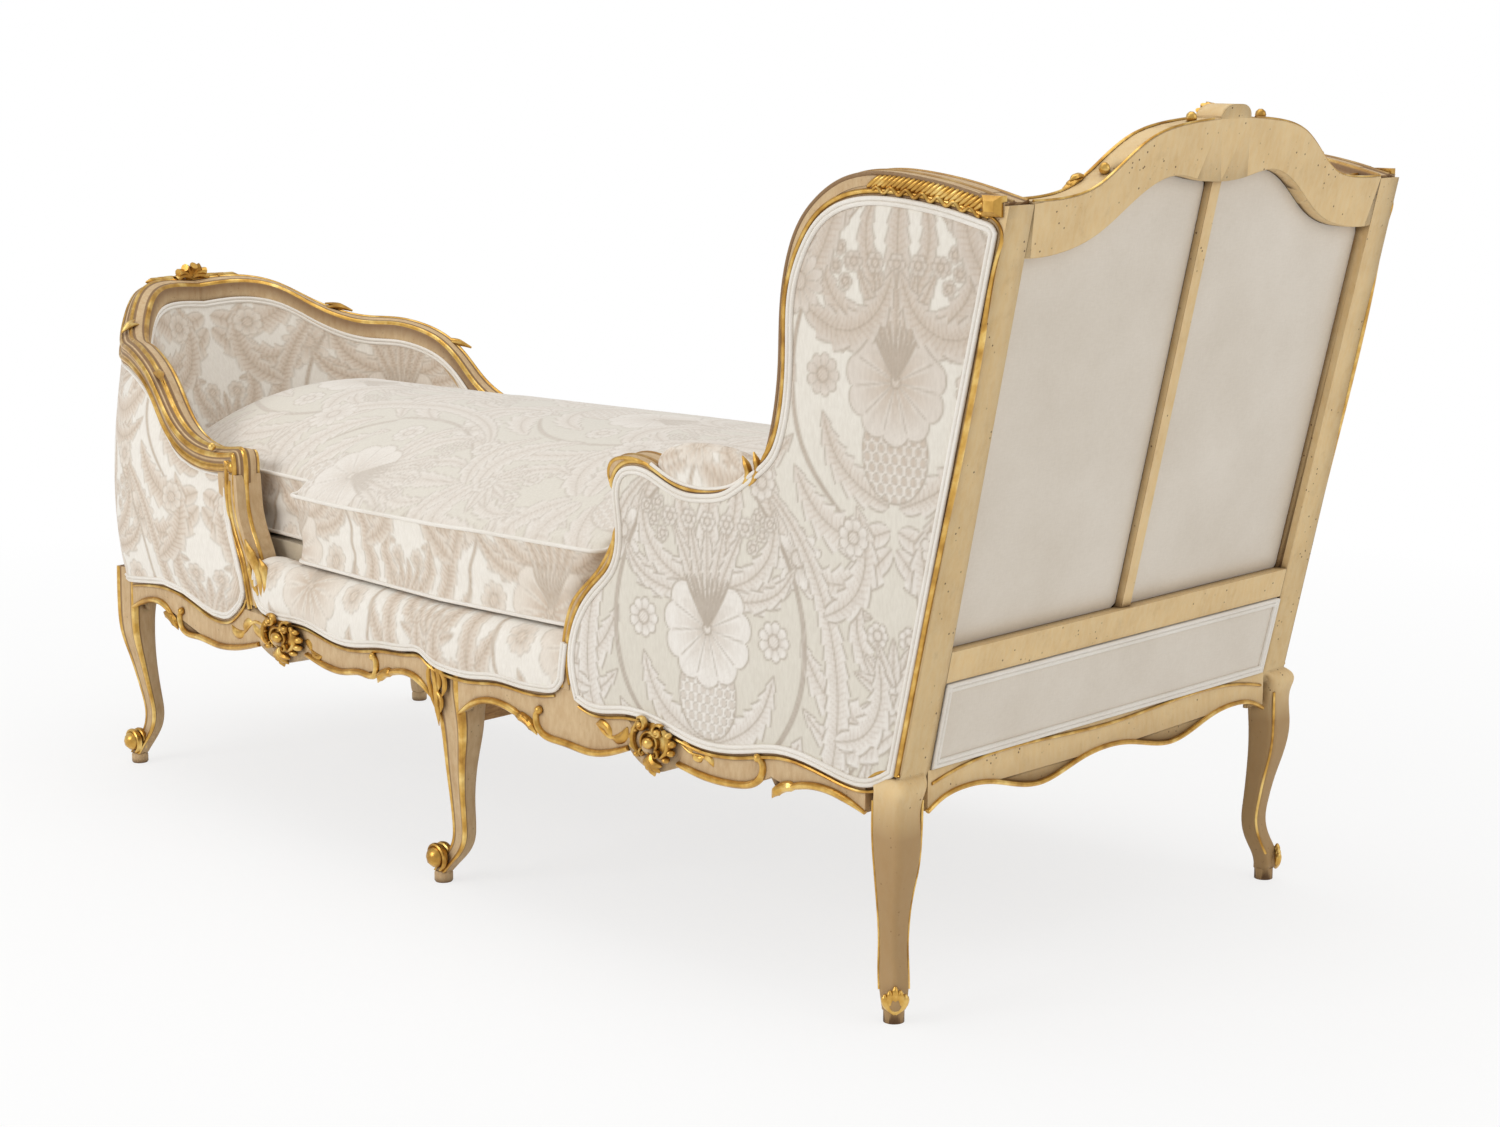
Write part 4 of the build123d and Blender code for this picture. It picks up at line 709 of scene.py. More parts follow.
def end_tree(tree, geometry, finish):
    """Makes the geometry real, smooth and of its finish, and gives it out."""
    real = add(tree, "GeometryNodeRealizeInstances", {"Geometry": geometry})
    soft = add(tree, "GeometryNodeSetShadeSmooth", {"Geometry": real.outputs["Geometry"]})
    done = add(tree, "GeometryNodeSetMaterial", {"Geometry": soft.outputs["Geometry"], "Material": finish})
    add(tree, "NodeGroupOutput", {"Made": done.outputs["Geometry"]})
    return tree


def cord_tree():
    tree, given = new_tree("round_cord", [("Paths", "Geometry"), ("Radius", "Float"),
            ("Sides", "Int"), ("Finish", "Material")])
    curve = add(tree, "GeometryNodeMeshToCurve", {"Mesh": given["Paths"]})
    ring = add(tree, "GeometryNodeCurvePrimitiveCircle", {"Resolution": given["Sides"],
            "Radius": given["Radius"]})
    skin = add(tree, "GeometryNodeCurveToMesh", {"Curve": curve.outputs["Curve"],
            "Profile Curve": ring.outputs["Curve"], "Fill Caps": True})
    return end_tree(tree, skin.outputs["Mesh"], given["Finish"])


def flute_tree():
    tree, given = new_tree("slanting_flutes", [("Path", "Geometry"), ("Spacing", "Float"),
            ("Half Size", "Vector"), ("Slant", "Float"), ("Finish", "Material")])
    curve = add(tree, "GeometryNodeMeshToCurve", {"Mesh": given["Path"]})
    marks = add(tree, "GeometryNodeResampleCurve", {"Curve": curve.outputs["Curve"],
            "Length": given["Spacing"]}, mode="LENGTH")
    unit_ball = add(tree, "GeometryNodeMeshUVSphere", {"Segments": 10, "Rings": 6, "Radius": 1.0})
    shaped = add(tree, "GeometryNodeTransform", {"Geometry": unit_ball.outputs["Mesh"],
            "Scale": given["Half Size"]})
    slant = add(tree, "ShaderNodeCombineXYZ", {"Y": given["Slant"]})
    leaning = add(tree, "GeometryNodeTransform", {"Geometry": shaped.outputs["Geometry"],
            "Rotation": slant.outputs["Vector"]})
    placed = add(tree, "GeometryNodeInstanceOnPoints", {"Points": marks.outputs["Curve"],
            "Instance": leaning.outputs["Geometry"]})
    return end_tree(tree, placed.outputs["Instances"], given["Finish"])


CORD = cord_tree()


def run_tree(tree, mesh, **inputs):
    """Runs a node tree on a mesh and returns the plain mesh that it makes."""
    carrier = bpy.data.objects.new("tree_input", mesh)
    bpy.context.scene.collection.objects.link(carrier)
    modifier = carrier.modifiers.new("tree", "NODES")
    modifier.node_group = tree
    for item in tree.interface.items_tree:
        if item.in_out == "INPUT" and item.name in inputs:
            modifier[item.identifier] = inputs[item.name]
    made = bpy.data.meshes.new_from_object(carrier.evaluated_get(bpy.context.evaluated_depsgraph_get()))
    bpy.data.objects.remove(carrier)
    return made


piping_radius = 2.7
cord_spacing = 5.2


def cords(paths, radius):
    """Round cords along open or closed paths, given as (points, closed)."""
    points, edges, start = [], [], 0
    for path, closed in paths:
        count = len(path)
        points.extend((np.asarray(path) * MM).tolist())
        edges.extend([(start + i, start + i + 1) for i in range(count - 1)])
        if closed:
            edges.append((start + count - 1, start))
        start += count
    mesh = bpy.data.meshes.new("paths")
    mesh.from_pydata(points, edges, [])
    return run_tree(CORD, mesh, Radius=radius * MM, Sides=10, Finish=PIPING)


def cord_pair(line, inner):
    """Two cords side by side, on a line and a little towards the next line of a grid."""
    ahead = unit(inner - line)
    return [(line + ahead * gap, False) for gap in (0.0, cord_spacing)]


# The gilt value beside a gilded bead, where the paint takes a brown line of antiquing and painted
# shade, and how deep a bead sinks into its ground as a share of its radius
antiquing_and_shade_gilt = 0.4
bead_sink = 0.3


def sweep(path, across, out, profile, gilt):
    """A moulding: a profile of (across, out) places carried along a path."""
    path, across, out = (np.asarray(a, float) for a in (path, across, out))
    profile = np.asarray(profile, float)
    points = (path[:, None, :] + across[:, None, :] * profile[None, :, :1]
              + out[:, None, :] * profile[None, :, 1:2]).reshape(-1, 3)
    return points, tube_faces(len(path), len(profile)), {"gilt": np.tile(
        np.asarray(gilt, float), len(path))}


def beaded_profile(width, depth, beads, crown=0.0, side_bead=None):
    """A closed profile: a face across the width with raised beads, and plain sides.

    Beads are (place across, radius, gilding). The crown drops the edges below the middle. The
    side bead is (depth, radius) on the outer side."""
    places, gilt = [(0.0, -depth)], [0]
    if side_bead:
        at, radius = side_bead
        for k in range(9):
            turn = math.pi * k / 8
            places.append((-radius * math.sin(turn), -at - radius * math.cos(turn)))
            gilt.append(1)
        places.append((2.0, -at * 0.6))
        gilt.append(0)
    steps = 44
    for k in range(steps + 1):
        a = width * k / steps
        level = -crown * abs(2 * k / steps - 1) ** 2.2
        rise = level - 0.6
        gold = 0.0
        for centre, radius, leafed in beads:
            d = abs(a - centre)
            if d < radius:
                rise = max(rise, level + math.sqrt(radius * radius - d * d) - radius * bead_sink)
            if d < radius * 2.2:
                gold = max(gold, leafed if d < radius * 1.1 else antiquing_and_shade_gilt)
        places.append((a, rise))
        gilt.append(gold)
    places.append((width, -depth))
    gilt.append(0)
    return places, gilt


# Carving: tapering bodies laid on a surface

def body(path, normal, widths, heights, sides):
    """A closed body along a path, so wide across the surface and so high off it."""
    path = np.asarray(path, float)
    normal = np.broadcast_to(np.asarray(normal, float), path.shape)
    ahead = unit(np.gradient(path, axis=0))
    across = unit(np.cross(normal, ahead))
    out = unit(np.cross(ahead, across))
    turns = np.linspace(0, 2 * math.pi, sides, endpoint=False)
    points = (path[:, None, :]
              + across[:, None, :] * (np.asarray(widths)[:, None] * np.cos(turns))[:, :, None]
              + out[:, None, :] * (np.asarray(heights)[:, None] * np.sin(turns))[:, :, None])
    return points.reshape(-1, 3), tube_faces(len(path), sides), {}


def even_body(path, normal, size, sides=8):
    """A body that is as high as it is wide, of one size or of a size at each point."""
    size = np.broadcast_to(size, len(path))
    return body(path, normal, size, size, sides)


def stroke(face, marks, width, height, ends, lift=0.0, step=3.0, sides=8):
    """A carved line through plane marks on a face, thinner towards its ends."""
    line = smooth(marks, step)
    t = np.linspace(0, 1, len(line))
    size = np.minimum(1.0, np.minimum(ends[0] + (1 - ends[0]) * t / 0.25,
            ends[1] + (1 - ends[1]) * (1 - t) / 0.25))
    path = np.array([face(a, b, lift) for a, b in line])
    normal = np.array([face(a, b, lift + 1.0) for a, b in line]) - path
    return body(path, normal, width * size, height * size, sides)


def strokes(face, table, height, ends, lift):
    return [stroke(face, marks, width, height, ends, lift) for marks, width in table]


def ball(face, mark, radius, lift, height=None):
    """A boss on a face."""
    turns = np.linspace(0.02, math.pi - 0.02, 9)
    path = np.array([face(mark[0] + radius * -math.cos(t), mark[1], lift) for t in turns])
    normal = face(*mark, lift + 1.0) - face(*mark, lift)
    size = np.sin(turns)
    return body(path, normal, radius * size, (height or radius) * size, 12)


def curl(centre, radius, start, turn, shrink=0.25):
    """Plane marks of a scroll winding in from its outer end. Angles are in degrees."""
    t = np.linspace(0, 1, 14)
    a = np.radians(start + turn * t)
    r = radius * (1 - (1 - shrink) * t)
    return np.stack([centre[0] + r * np.cos(a), centre[1] + r * np.sin(a)], axis=1)


def leaf_spray(face, root, angle, length, width, spread, height):
    """A fan of five tapering leaves from one root."""
    parts = []
    for lean in (-1.0, -0.5, 0.0, 0.5, 1.0):
        a = math.radians(angle + spread * lean)
        size = length * (1 - 0.28 * abs(lean))
        bow = math.radians(angle + spread * lean * 0.45)
        marks = [root, (root[0] + size * 0.5 * math.cos(bow), root[1] + size * 0.5 * math.sin(bow)),
                 (root[0] + size * math.cos(a), root[1] + size * math.sin(a))]
        parts.append(stroke(face, marks, width, height, (0.5, 0.15), 0.5))
    return parts


def side_face(run, z, lift):
    return side_point(run, z, -lift)


def end_face(y, z, lift):
    return np.array([bow_x(y) - lift, y, z])


def rear_face(y, z, lift):
    return np.array([x_ledge + rake * max(0.0, z - ledge_height) + lift, y, z])


def carved(parts, name, sides=True):
    """Joins carved parts into one gilded piece, or into one on each side."""
    mesh = facing_out(make_mesh(name, *join_parts(parts)))
    put = both_sides if sides else show
    put(mesh, name, GILDING, "painted_wood")


# Lower edges of the side rails: shares of the rail's run and of the ledge's height
head_rail_low, head_rail_high = 56.0, 737.0
foot_rail_low_v, foot_rail_high_v = -6.0, 786.0
head_apron_shares = [[(0.000, 0.830), (0.050, 0.905), (0.123, 0.923), (0.206, 0.860)],
    [(0.214, 0.849), (0.285, 0.817), (0.358, 0.803), (0.452, 0.863)],
    [(0.574, 0.845), (0.637, 0.820), (0.703, 0.817), (0.775, 0.865)],
    [(0.805, 0.838), (0.877, 0.887), (0.946, 0.877), (1.000, 0.831)]]
foot_apron_shares = [[(0.000, 0.880), (0.035, 0.940), (0.085, 0.955), (0.150, 0.905)],
    [(0.160, 0.898), (0.205, 0.890), (0.260, 0.868), (0.318, 0.868), (0.381, 0.895)],
    [(0.540, 0.872), (0.616, 0.820), (0.686, 0.800), (0.758, 0.810), (0.820, 0.830)],
    [(0.838, 0.850), (0.871, 0.915), (0.940, 0.920), (1.000, 0.860)]]
bead_half = 4.6
bead_high = 6.2
bead_rise = 0.2
cartouche_base = 8.6
# Lower edges of the foot's cover and of the seat border: (run from the middle leg, height)
foot_low_marks = [(455, 316), (461, 306), (469, 296), (484, 284), (502, 274), (516, 271),
        (545, 271), (572, 276), (629, 290), (687, 295), (791, 283), (900, 287), (1000, 290)]
border_low = [(-424, 315), (-412, 301), (-390, 295), (-363, 294), (-298, 297), (-231, 288),
        (-182, 287), (-109, 298), (-46, 304), (-14, 306), (8, 296), (38, 290), (82, 289),
        (132, 294), (172, 292), (218, 293), (240, 298), (252, 312)]


def cartouche(face, centre, wide=1.25):
    """A boss among scrolls and rounded frills, with a fan of leaves below."""
    def local(a, b, lift):
        fall = max(0.0, math.hypot(a, b) - 22.0) * 0.4
        return face(centre[0] + a * 1.18 * wide, centre[1] + b * 1.18, lift * 1.3 + cartouche_base - fall)
    parts = [ball(local, (0, 0), 23.0, -3.0, 6.0), ball(local, (0, 0), 7.5, 4.0, 8.0),
             stroke(local, curl((0, 0), 11.0, -30, 300, 1.0), 1.9, 3.6, (0.6, 0.6), 3.0)]
    for sign in (-1, 1):
        top = 17 if sign < 0 else 13
        parts.append(stroke(local, curl((sign * 12, top), 7.5, 90 + sign * -40, sign * 400), 2.6,
                5.0, (0.9, 0.9), 3.0))
        parts.append(ball(local, (sign * 12, top), 3.6, 5.0))
        parts.append(stroke(local, [(sign * a, b) for a, b in
                    [(18, top + 2), (24, 6), (23, -6), (14, -14)]], 3.0, 6.0, (0.6, 0.5), 2.0))
        for a, b, size in ((23, 10, 4.4), (27, 2, 5.0), (26, -7, 4.8), (20, -15, 4.2)):
            parts.append(ball(local, (sign * a, b), size, 1.0, 6.0))
        parts.append(stroke(local, curl((sign * 9, -11), 4.6, 90, sign * -330), 1.8, 4.4, (0.9, 0.9), 3.0))
    return parts + leaf_spray(local, (0, -12), -90, 24, 5.6, 50, 6.0)


def sprig(face, marks, width):
    """A stem of two or three pointed leaves."""
    parts = [stroke(face, marks, width * 0.4, 1.6, (0.6, 0.3))]
    for k in range(1, len(marks)):
        a, b = np.array(marks[k - 1], float), np.array(marks[k], float)
        along_leaf = b - a
        side = np.array([-along_leaf[1], along_leaf[0]]) * (0.35 if k % 2 else -0.35)
        parts.append(stroke(face, [a, a + along_leaf * 0.5 + side * 0.7, b], width, 3.0, (0.3, 0.1)))
    return parts


def apron_gilding(face, low, high, shares, direction):
    """Beads, scrolls and leaf tips along a rail's lower edge. Direction turns the run."""
    def runs(points):
        return [(direction * (low + (high - low) * t), ledge_height * z) for t, z in points]
    arch_a, lobe_a, lobe_b, arch_b = (np.array(runs(r)) + [0, bead_rise] for r in shares)
    parts = [stroke(face, arch, bead_half, bead_high, (0.5, 0.5), sides=10) for arch in (arch_a, arch_b)]
    for tip, lobe, way in ((arch_a[-1], lobe_a, 1), (arch_b[0], lobe_b[::-1], -1)):
        s = direction * way
        start = lobe[0]
        marks = [start + [s * a, b] for a, b in ((8, 25), (2, 21), (0.5, 11), (5, 1.5))]
        parts.append(stroke(face, marks + list(lobe[1:]), bead_half, bead_high, (0.9, 0.8), sides=10))
        parts.append(ball(face, start + [s * 7, 25.5], 5.6, 2.5))
        for flame, width, ends in ((((-34, 9), (-16, 7), (-1, -1), (7, -11)), 6.4, (0.2, 0.05)),
                (((-20, 11), (-8, 8), (-1, 1)), 2.4, (0.3, 0.2))):
            parts.append(stroke(face, [tip + [s * a, b] for a, b in flame], width, 6.4, ends, 0.8))
    return parts


# Sections of the rear leg: share of the height, then x, y and thickness in knee widths
knee_width = 50.0
rear_foot_x = x_ledge - 14.0
rear_foot_y = 374.0
rear_leg_shares = [(1.00, -0.22, -0.26, 1.00), (0.90, 0.02, -0.04, 0.90), (0.75, 0.02, -0.02, 0.88),
    (0.63, 0.00, -0.04, 0.80), (0.48, -0.12, -0.12, 0.62), (0.37, -0.19, -0.19, 0.54),
    (0.29, -0.22, -0.22, 0.52), (0.21, -0.16, -0.16, 0.54), (0.13, -0.02, -0.02, 0.54)]


def side_gilding():
    parts = apron_gilding(side_face, head_rail_low, head_rail_high, head_apron_shares, 1)
    parts += apron_gilding(side_face, foot_rail_low_v, foot_rail_high_v, foot_apron_shares, -1)
    head_middle = head_rail_low + (head_rail_high - head_rail_low) * 0.514
    foot_middle = foot_rail_low_v + (foot_rail_high_v - foot_rail_low_v) * 0.458
    parts += cartouche(side_face, (head_middle + 5.0, 262.0), 1.0)
    parts += cartouche(side_face, (-foot_middle + 6.0, 271.0), 1.4)
    for marks, width in (([(362, 270), (334, 253), (308, 266)], 6.0),
            ([(-396, 271), (-440, 275), (-462, 259), (-498, 263)], 6.0),
            ([(450, 266), (470, 257), (488, 256), (504, 247)], 4.4),
            ([(-300, 272), (-284, 262), (-258, 258)], 4.4)):
        parts += sprig(side_face, marks, width)
    # Upper beads close under the piping of each cover
    foot_run = [(-v, z) for v, z in foot_low_marks[:11]]
    for marks in (foot_run[::-1], border_low[1:-1], np.array(on_head(cover_shares[3]))[::-1]):
        line = offset_line(smooth(marks, 3.0), -7.6)
        parts.append(stroke(side_face, line[2:-2], 2.5, 3.8, (0.7, 0.7), 0.3))
    # Carved leaves on the middle leg's knee
    parts += strokes(side_face, [([(4, 298), (11, 280), (15, 250), (19, 214)], 4.4),
            ([(6, 298), (24, 288), (32, 272), (24, 252)], 4.0),
            ([(4, 297), (0, 282), (5, 258), (13, 234)], 3.6), ([(14, 294), (21, 278), (19, 260)], 4.0),
            ([(13, 262), (24, 250), (22, 232)], 3.0)], 3.0, (0.4, 0.1), 1.0)
    # Arches over the rear leg
    post = head_span - 14.0
    parts.append(stroke(side_face, [(post - 30, 277), (post - 20, 284), (post - 4, 289),
            (post + 14, 287)], 2.2, 2.6, (0.8, 0.8), 0.5))
    # Gilded arris and foot leaf of the rear leg
    for way in (-1, 1):
        line = smooth([(rear_foot_x + knee_width * (x + way * side * 0.43),
                    -rear_foot_y - knee_width * (y - way * side * 0.43), ledge_height * z)
                for z, x, y, side in rear_leg_shares[1:]], 5.0)
        parts.append(even_body(line, (way * 0.7, way * 0.7, 0), 1.7))
    for lean in (-1.0, -0.5, 0.0, 0.5, 1.0):
        path = smooth([(rear_foot_x + out + 8 * aside, -rear_foot_y - out + 8 * aside, z)
                for out, aside, z in ((11.0, 0.0, 14.0), (11.5, lean, 26.0 + 3 * abs(lean)),
                    (12.0, lean, 46.0 - 9 * abs(lean)))], 3.0)
        size = np.interp(np.linspace(0, 1, len(path)), [0, 0.5, 0.85, 1], [2.6, 4.6, 4.4, 1.4])
        parts.append(even_body(path, (0.7, -0.7, 0), size))
    # Leaves at the foot of the arm support, and the knuckle's knob
    parts += strokes(side_face, [([(-404, 312), (-412, 345), (-436, 372), (-452, 392)], 8.5),
            ([(-398, 318), (-396, 340), (-414, 370)], 6.5),
            ([(-416, 318), (-434, 344), (-442, 366)], 6.5)], 6.0, (0.6, 0.15), 1.0)
    parts.append(ball(side_face, (-487, 489), 9.0, -3.0, 7.0))
    parts.append(ball(side_face, (-536, foot_rail_low), 6.0, 0.0, 6.0))
    # Bead between the rear piping and the post
    rear_run = on_head([(1.095, 0.996), (1.138, 0.984), (1.157, 0.972), (1.1640, 0.952),
            (1.1595, 0.926), (1.137, 0.800), (1.0654, 0.400), (0.9945, 0.004)])
    parts.append(stroke(side_face, rear_run, 3.0, 4.2, (0.4, 1), 0.3, 4.0))
    carved(parts, "side_gilding")


# The left half of each, from its end to the middle
end_apron_shares = [(-1.00, 0.880), (-0.86, 0.925), (-0.62, 0.860), (-0.36, 0.815), (-0.18, 0.865)]
rear_apron_shares = [(-1.00, 0.835), (-0.93, 0.872), (-0.81, 0.893), (-0.66, 0.878),
        (-0.51, 0.832), (-0.39, 0.812), (-0.27, 0.832), (-0.13, 0.868), (0.0, 0.880)]
end_apron_half = 257.0
rear_apron_half = 336.0


def end_gilding():
    """Beads along the end and rear rails, with the end's cartouche."""
    left = [(end_apron_half * t, ledge_height * z + bead_rise) for t, z in end_apron_shares]
    parts = [stroke(end_face, marks, bead_half, bead_high, (0.9, 0.9), sides=10)
             for marks in (left, [(-y, z) for y, z in left[::-1]])]
    parts += cartouche(end_face, (0.0, 258.0))
    lower = [(rear_apron_half * t, ledge_height * z + bead_rise) for t, z in rear_apron_shares]
    upper = [(rear_apron_half * t, z) for t, z in ((-0.98, 268), (-0.90, 274), (0.0, 277))]
    for left, width, height in ((lower, 3.2, 3.6), (upper, 2.2, 2.6)):
        marks = left + [(-y, z) for y, z in left[-2::-1]]
        parts.append(stroke(rear_face, marks, width, height, (0.9, 0.9), step=4.0))
    carved(parts, "end_and_rear_gilding", False)


def foot_crest_face(a, b, lift):
    """Across the rail's top at the middle of the end: a along Y, b over the top outwards."""
    x = foot_axis_x - foot_ellipse_reach + foot_rail_width / 2 - b
    return np.array([x, a, foot_rail_high - 2.0 + lift])


def foot_crest_carving():
    """The shell over the foot end with a leaf spray each side, and leaves on the corners."""
    parts = []
    for k in range(-3, 4):
        a = math.radians(30 * k)
        root = foot_crest_face(0, 4, 2.0)
        tip = foot_crest_face(30 * math.sin(a), -6 + 8 * abs(math.sin(a)), 21 * math.cos(a) + 2)
        middle = (root + tip) / 2 + [0, 0, 5]
        path = smooth([root, middle, tip], 2.0)
        size = np.linspace(3.0, 6.4, len(path))
        parts.append(body(path, (1, 0, 0.3), size, size * 1.1, 8))
    for way in (-1, 1):
        for k in range(3):
            marks = [(way * (22 + 12 * k), 8 - 6 * k), (way * (38 + 14 * k), 11 - 5 * k),
                     (way * (58 + 16 * k), 2 - 2 * k)]
            parts.append(stroke(foot_crest_face, marks, 5.2, 6.0, (0.6, 0.15), 2.0))
    for turn, share in ((0.66, 0.69), (0.31, 0.42)):
        angle = quarter(turn)
        base = radial(angle, rail_radius(angle) - 14.0, rail_height(share) + 1.0)
        outward = np.array([-math.sin(angle), -math.cos(angle), 0])
        side = np.array([math.cos(angle), -math.sin(angle), -0.1])
        for lean in (-0.6, 0.0, 0.6):
            tip = base + side * -26 + outward * 14 * lean + UP * (9 if lean == 0 else 2)
            path = smooth([base + side * 18, (base + tip) / 2 + UP * 4, tip], 3.0)
            size = np.interp(np.linspace(0, 1, len(path)), [0, 0.5, 1], [1.6, 4.6, 1.2])
            for y in (1, -1):
                parts.append(even_body(path * [1, y, 1], UP, size))
    carved(parts, "foot_crest_carving", False)


def crest_face(y, z, lift):
    """The front of the crest, facing the seat."""
    return back_point(y, z, crest_thickness + lift)


crest_top_shares = [(1.00, 1.005), (0.80, 1.008), (0.68, 1.024), (0.57, 1.060), (0.44, 1.100),
        (0.28, 1.120), (0.12, 1.127)]


def crest_carving():
    """A shell at the crest's middle, sprays beside it and a bead along both top arrises."""
    half_top = side_half - post_width_high
    parts = []
    for a in np.radians(np.arange(12, 169, 26)):
        marks = [(0, crest_top + 2), (12 * math.cos(a), crest_top + 2 + 9 * math.sin(a)),
                 (23 * math.cos(a), crest_top - 2 + 21 * math.sin(a))]
        parts.append(stroke(crest_face, marks, 3.6, 6.0, (0.5, 0.8), 4.0))
    parts.append(ball(crest_face, (0, crest_top - 2), 7.0, 6.0))
    line = smooth([(half_top * y, head_z(z)) for y, z in crest_top_shares], 6.0)
    for sign in (-1, 1):
        marks = [(sign * y, z) for y, z in line if abs(y) > 28]
        for inset, size in ((2.5, 1.5), (crest_thickness - 2.0, 2.0)):
            path = np.array([back_point(y, z + 0.6, inset) for y, z in marks])
            parts.append(even_body(path, UP, size))
        for at, z in ((0.62, 1.046), (0.20, 1.126)):
            y = sign * half_top * at
            for k in range(3):
                marks = [(y, head_z(z) - 12), (y + sign * (10 + 6 * k), head_z(z) - 6 - 4 * k),
                         (y + sign * (26 + 6 * k), head_z(z) - 10 - 10 * k)]
                parts.append(stroke(crest_face, marks, 4.0, 5.0, (0.6, 0.15), 1.0))
            knob = back_point(y, head_z(z) + 3.0, 14.0)
            path = knob + np.outer(np.linspace(-7, 7, 9), [0, 1, 0])
            size = 7 * np.sin(np.linspace(0.1, math.pi - 0.1, 9))
            parts.append(even_body(path, UP, size, 10))
    carved(parts, "crest_carving", False)


def block(face, centre, half_a, half_b, height):
    """A closed block with sloping sides and a flat top."""
    points = [face(centre[0] + a * half_a * size, centre[1] + b * half_b * size, lift)
              for lift, size in ((-6.0, 1.0), (height * 0.35, 1.0), (height, 0.5))
              for a, b in ((-1, -1), (1, -1), (1, 1), (-1, 1))]
    return np.array(points), tube_faces(3, 4), {}


flute_range = (742.0, 890.0)


def wing_carving():
    """The gilded block at the wing's rear corner and the wavy edge under the flutes."""
    parts = [block(side_face, (head_span * 1.149, head_z(0.999)), 13.0, 11.0, 9.0)]
    under = offset_line(smooth(on_head(wing_top_shares), 2.0), -20.0)
    under = under[(under[:, 0] > flute_range[0]) & (under[:, 0] < flute_range[1])]
    under[:, 1] += 3.2 * np.sin(np.arange(len(under)) * 0.56)
    parts.append(stroke(side_face, under, 2.6, 5.0, (0.8, 0.8), 0.5, 1.8))
    leaves = ([(0.700, 0.470), (0.712, 0.500), (0.700, 0.530)],
              [(0.714, 0.478), (0.730, 0.505), (0.722, 0.540)])
    parts += strokes(side_face, [(on_head(marks), 4.0) for marks in leaves], 5.0, (0.4, 0.2), 0.5)
    carved(parts, "wing_carving")


def wing_flutes():
    """Slanting flutes side by side along the wing's top."""
    line = offset_line(smooth(on_head(wing_top_shares), 2.0), -11.0)
    points = [side_face(u, z, 0.0) * MM for u, z in line if flute_range[0] < u < flute_range[1]]
    mesh = bpy.data.meshes.new("flute_path")
    mesh.from_pydata([tuple(p) for p in points], [(i, i + 1) for i in range(len(points) - 1)], [])
    made = run_tree(flute_tree(), mesh, Spacing=6.4 * MM, Slant=math.radians(58), Finish=GILDING,
            **{"Half Size": (3.3 * MM, 4.6 * MM, 13.5 * MM)})
    both_sides(made, "wing_flutes", GILDING, "painted_wood")


# A stuffed panel: an even grid inside an outline, raised away from its edge

def inside(points, outline):
    """Which plane points lie inside a closed outline."""
    result = np.zeros(len(points), bool)
    ends = np.roll(outline, -1, axis=0)
    for (ax, ay), (bx, by) in zip(outline, ends):
        crosses = (ay > points[:, 1]) != (by > points[:, 1])
        if ay != by:
            at = ax + (points[:, 1] - ay) * (bx - ax) / (by - ay)
            result ^= crosses & (points[:, 0] < at)
    return result


def edge_distance(points, outline):
    """Distance to a closed outline and the nearest place on it."""
    best = np.full(len(points), 1e9)
    place = np.zeros_like(points)
    ends = np.roll(outline, -1, axis=0)
    for a, b in zip(outline, ends):
        ab = b - a
        t = np.clip(((points - a) @ ab) / (ab @ ab + 1e-12), 0, 1)
        near = a + t[:, None] * ab
        d = np.hypot(*(points - near).T)
        closer = d < best
        best[closer] = d[closer]
        place[closer] = near[closer]
    return best, place


def stuffed(outline, carrier, rise, step, skirt, uv_shift=(0, 0), turned_by_height=((0, 0.8), (1000, 0.8))):
    """Points, faces and damask of a panel. The carrier puts (u, v, height) in space."""
    outline = resample(outline, 5.0, closed=True)
    low, high = outline.min(axis=0), outline.max(axis=0)
    us = np.arange(low[0], high[0] + step, step)
    vs = np.arange(low[1], high[1] + step, step)
    grid = np.stack(np.meshgrid(us, vs, indexing="ij"), axis=-1)
    rows, columns = grid.shape[:2]
    flat = grid.reshape(-1, 2)
    kept = inside(flat, outline).reshape(rows, columns)
    cells = kept[:-1, :-1] & kept[1:, :-1] & kept[1:, 1:] & kept[:-1, 1:]
    index = np.arange(rows * columns).reshape(rows, columns)
    ci, cj = np.nonzero(cells)
    quads = np.stack([index[ci, cj], index[ci + 1, cj], index[ci + 1, cj + 1], index[ci, cj + 1]], axis=1)
    used, quads = np.unique(quads, return_inverse=True)
    quads = quads.reshape(-1, 4)
    points = flat[used]
    edges = np.concatenate([quads[:, [k, (k + 1) % 4]] for k in range(4)])
    _, first, count = np.unique(np.sort(edges, axis=1), axis=0, return_index=True, return_counts=True)
    rim_edges = edges[first[count == 1]]
    rim = np.unique(rim_edges)
    distance, place = edge_distance(points, outline)
    points[rim] = place[rim]
    distance[rim] = 0.0
    heights = rise(distance)
    solid = carrier(points, heights)
    faces = quads.tolist()
    twin = {int(v): len(points) + k for k, v in enumerate(rim)}
    lower = carrier(points[rim], np.full(len(rim), -skirt))
    faces += [[int(b), int(a), twin[int(a)], twin[int(b)]] for a, b in rim_edges]
    uv = np.vstack([points, points[rim]])
    # The painted sheen at each height of the panel
    turned = np.interp(uv[:, 1], *np.array(turned_by_height).T)
    return np.vstack([solid, lower]), faces, damask_layers(uv + np.array(uv_shift), turned)


def puff(edge, height, roll):
    """Height over the distance from the edge: quick at first, then level."""
    return lambda d: edge + height * (1 - np.exp(-d / roll))


def rolled(thick, roll, swell, spread):
    """A pad that rolls over to its thickness at the edge and swells a little further in."""
    def rise(d):
        near = np.clip(d / roll, 0, 1)
        return thick * np.sqrt(1 - (1 - near) ** 2) + swell * (1 - np.exp(-d / spread))
    return rise


# Outlines of the head side, as shares of the head's length and the back's rise

def on_head(shares):
    return [(head_span * u, head_z(z)) for u, z in shares]


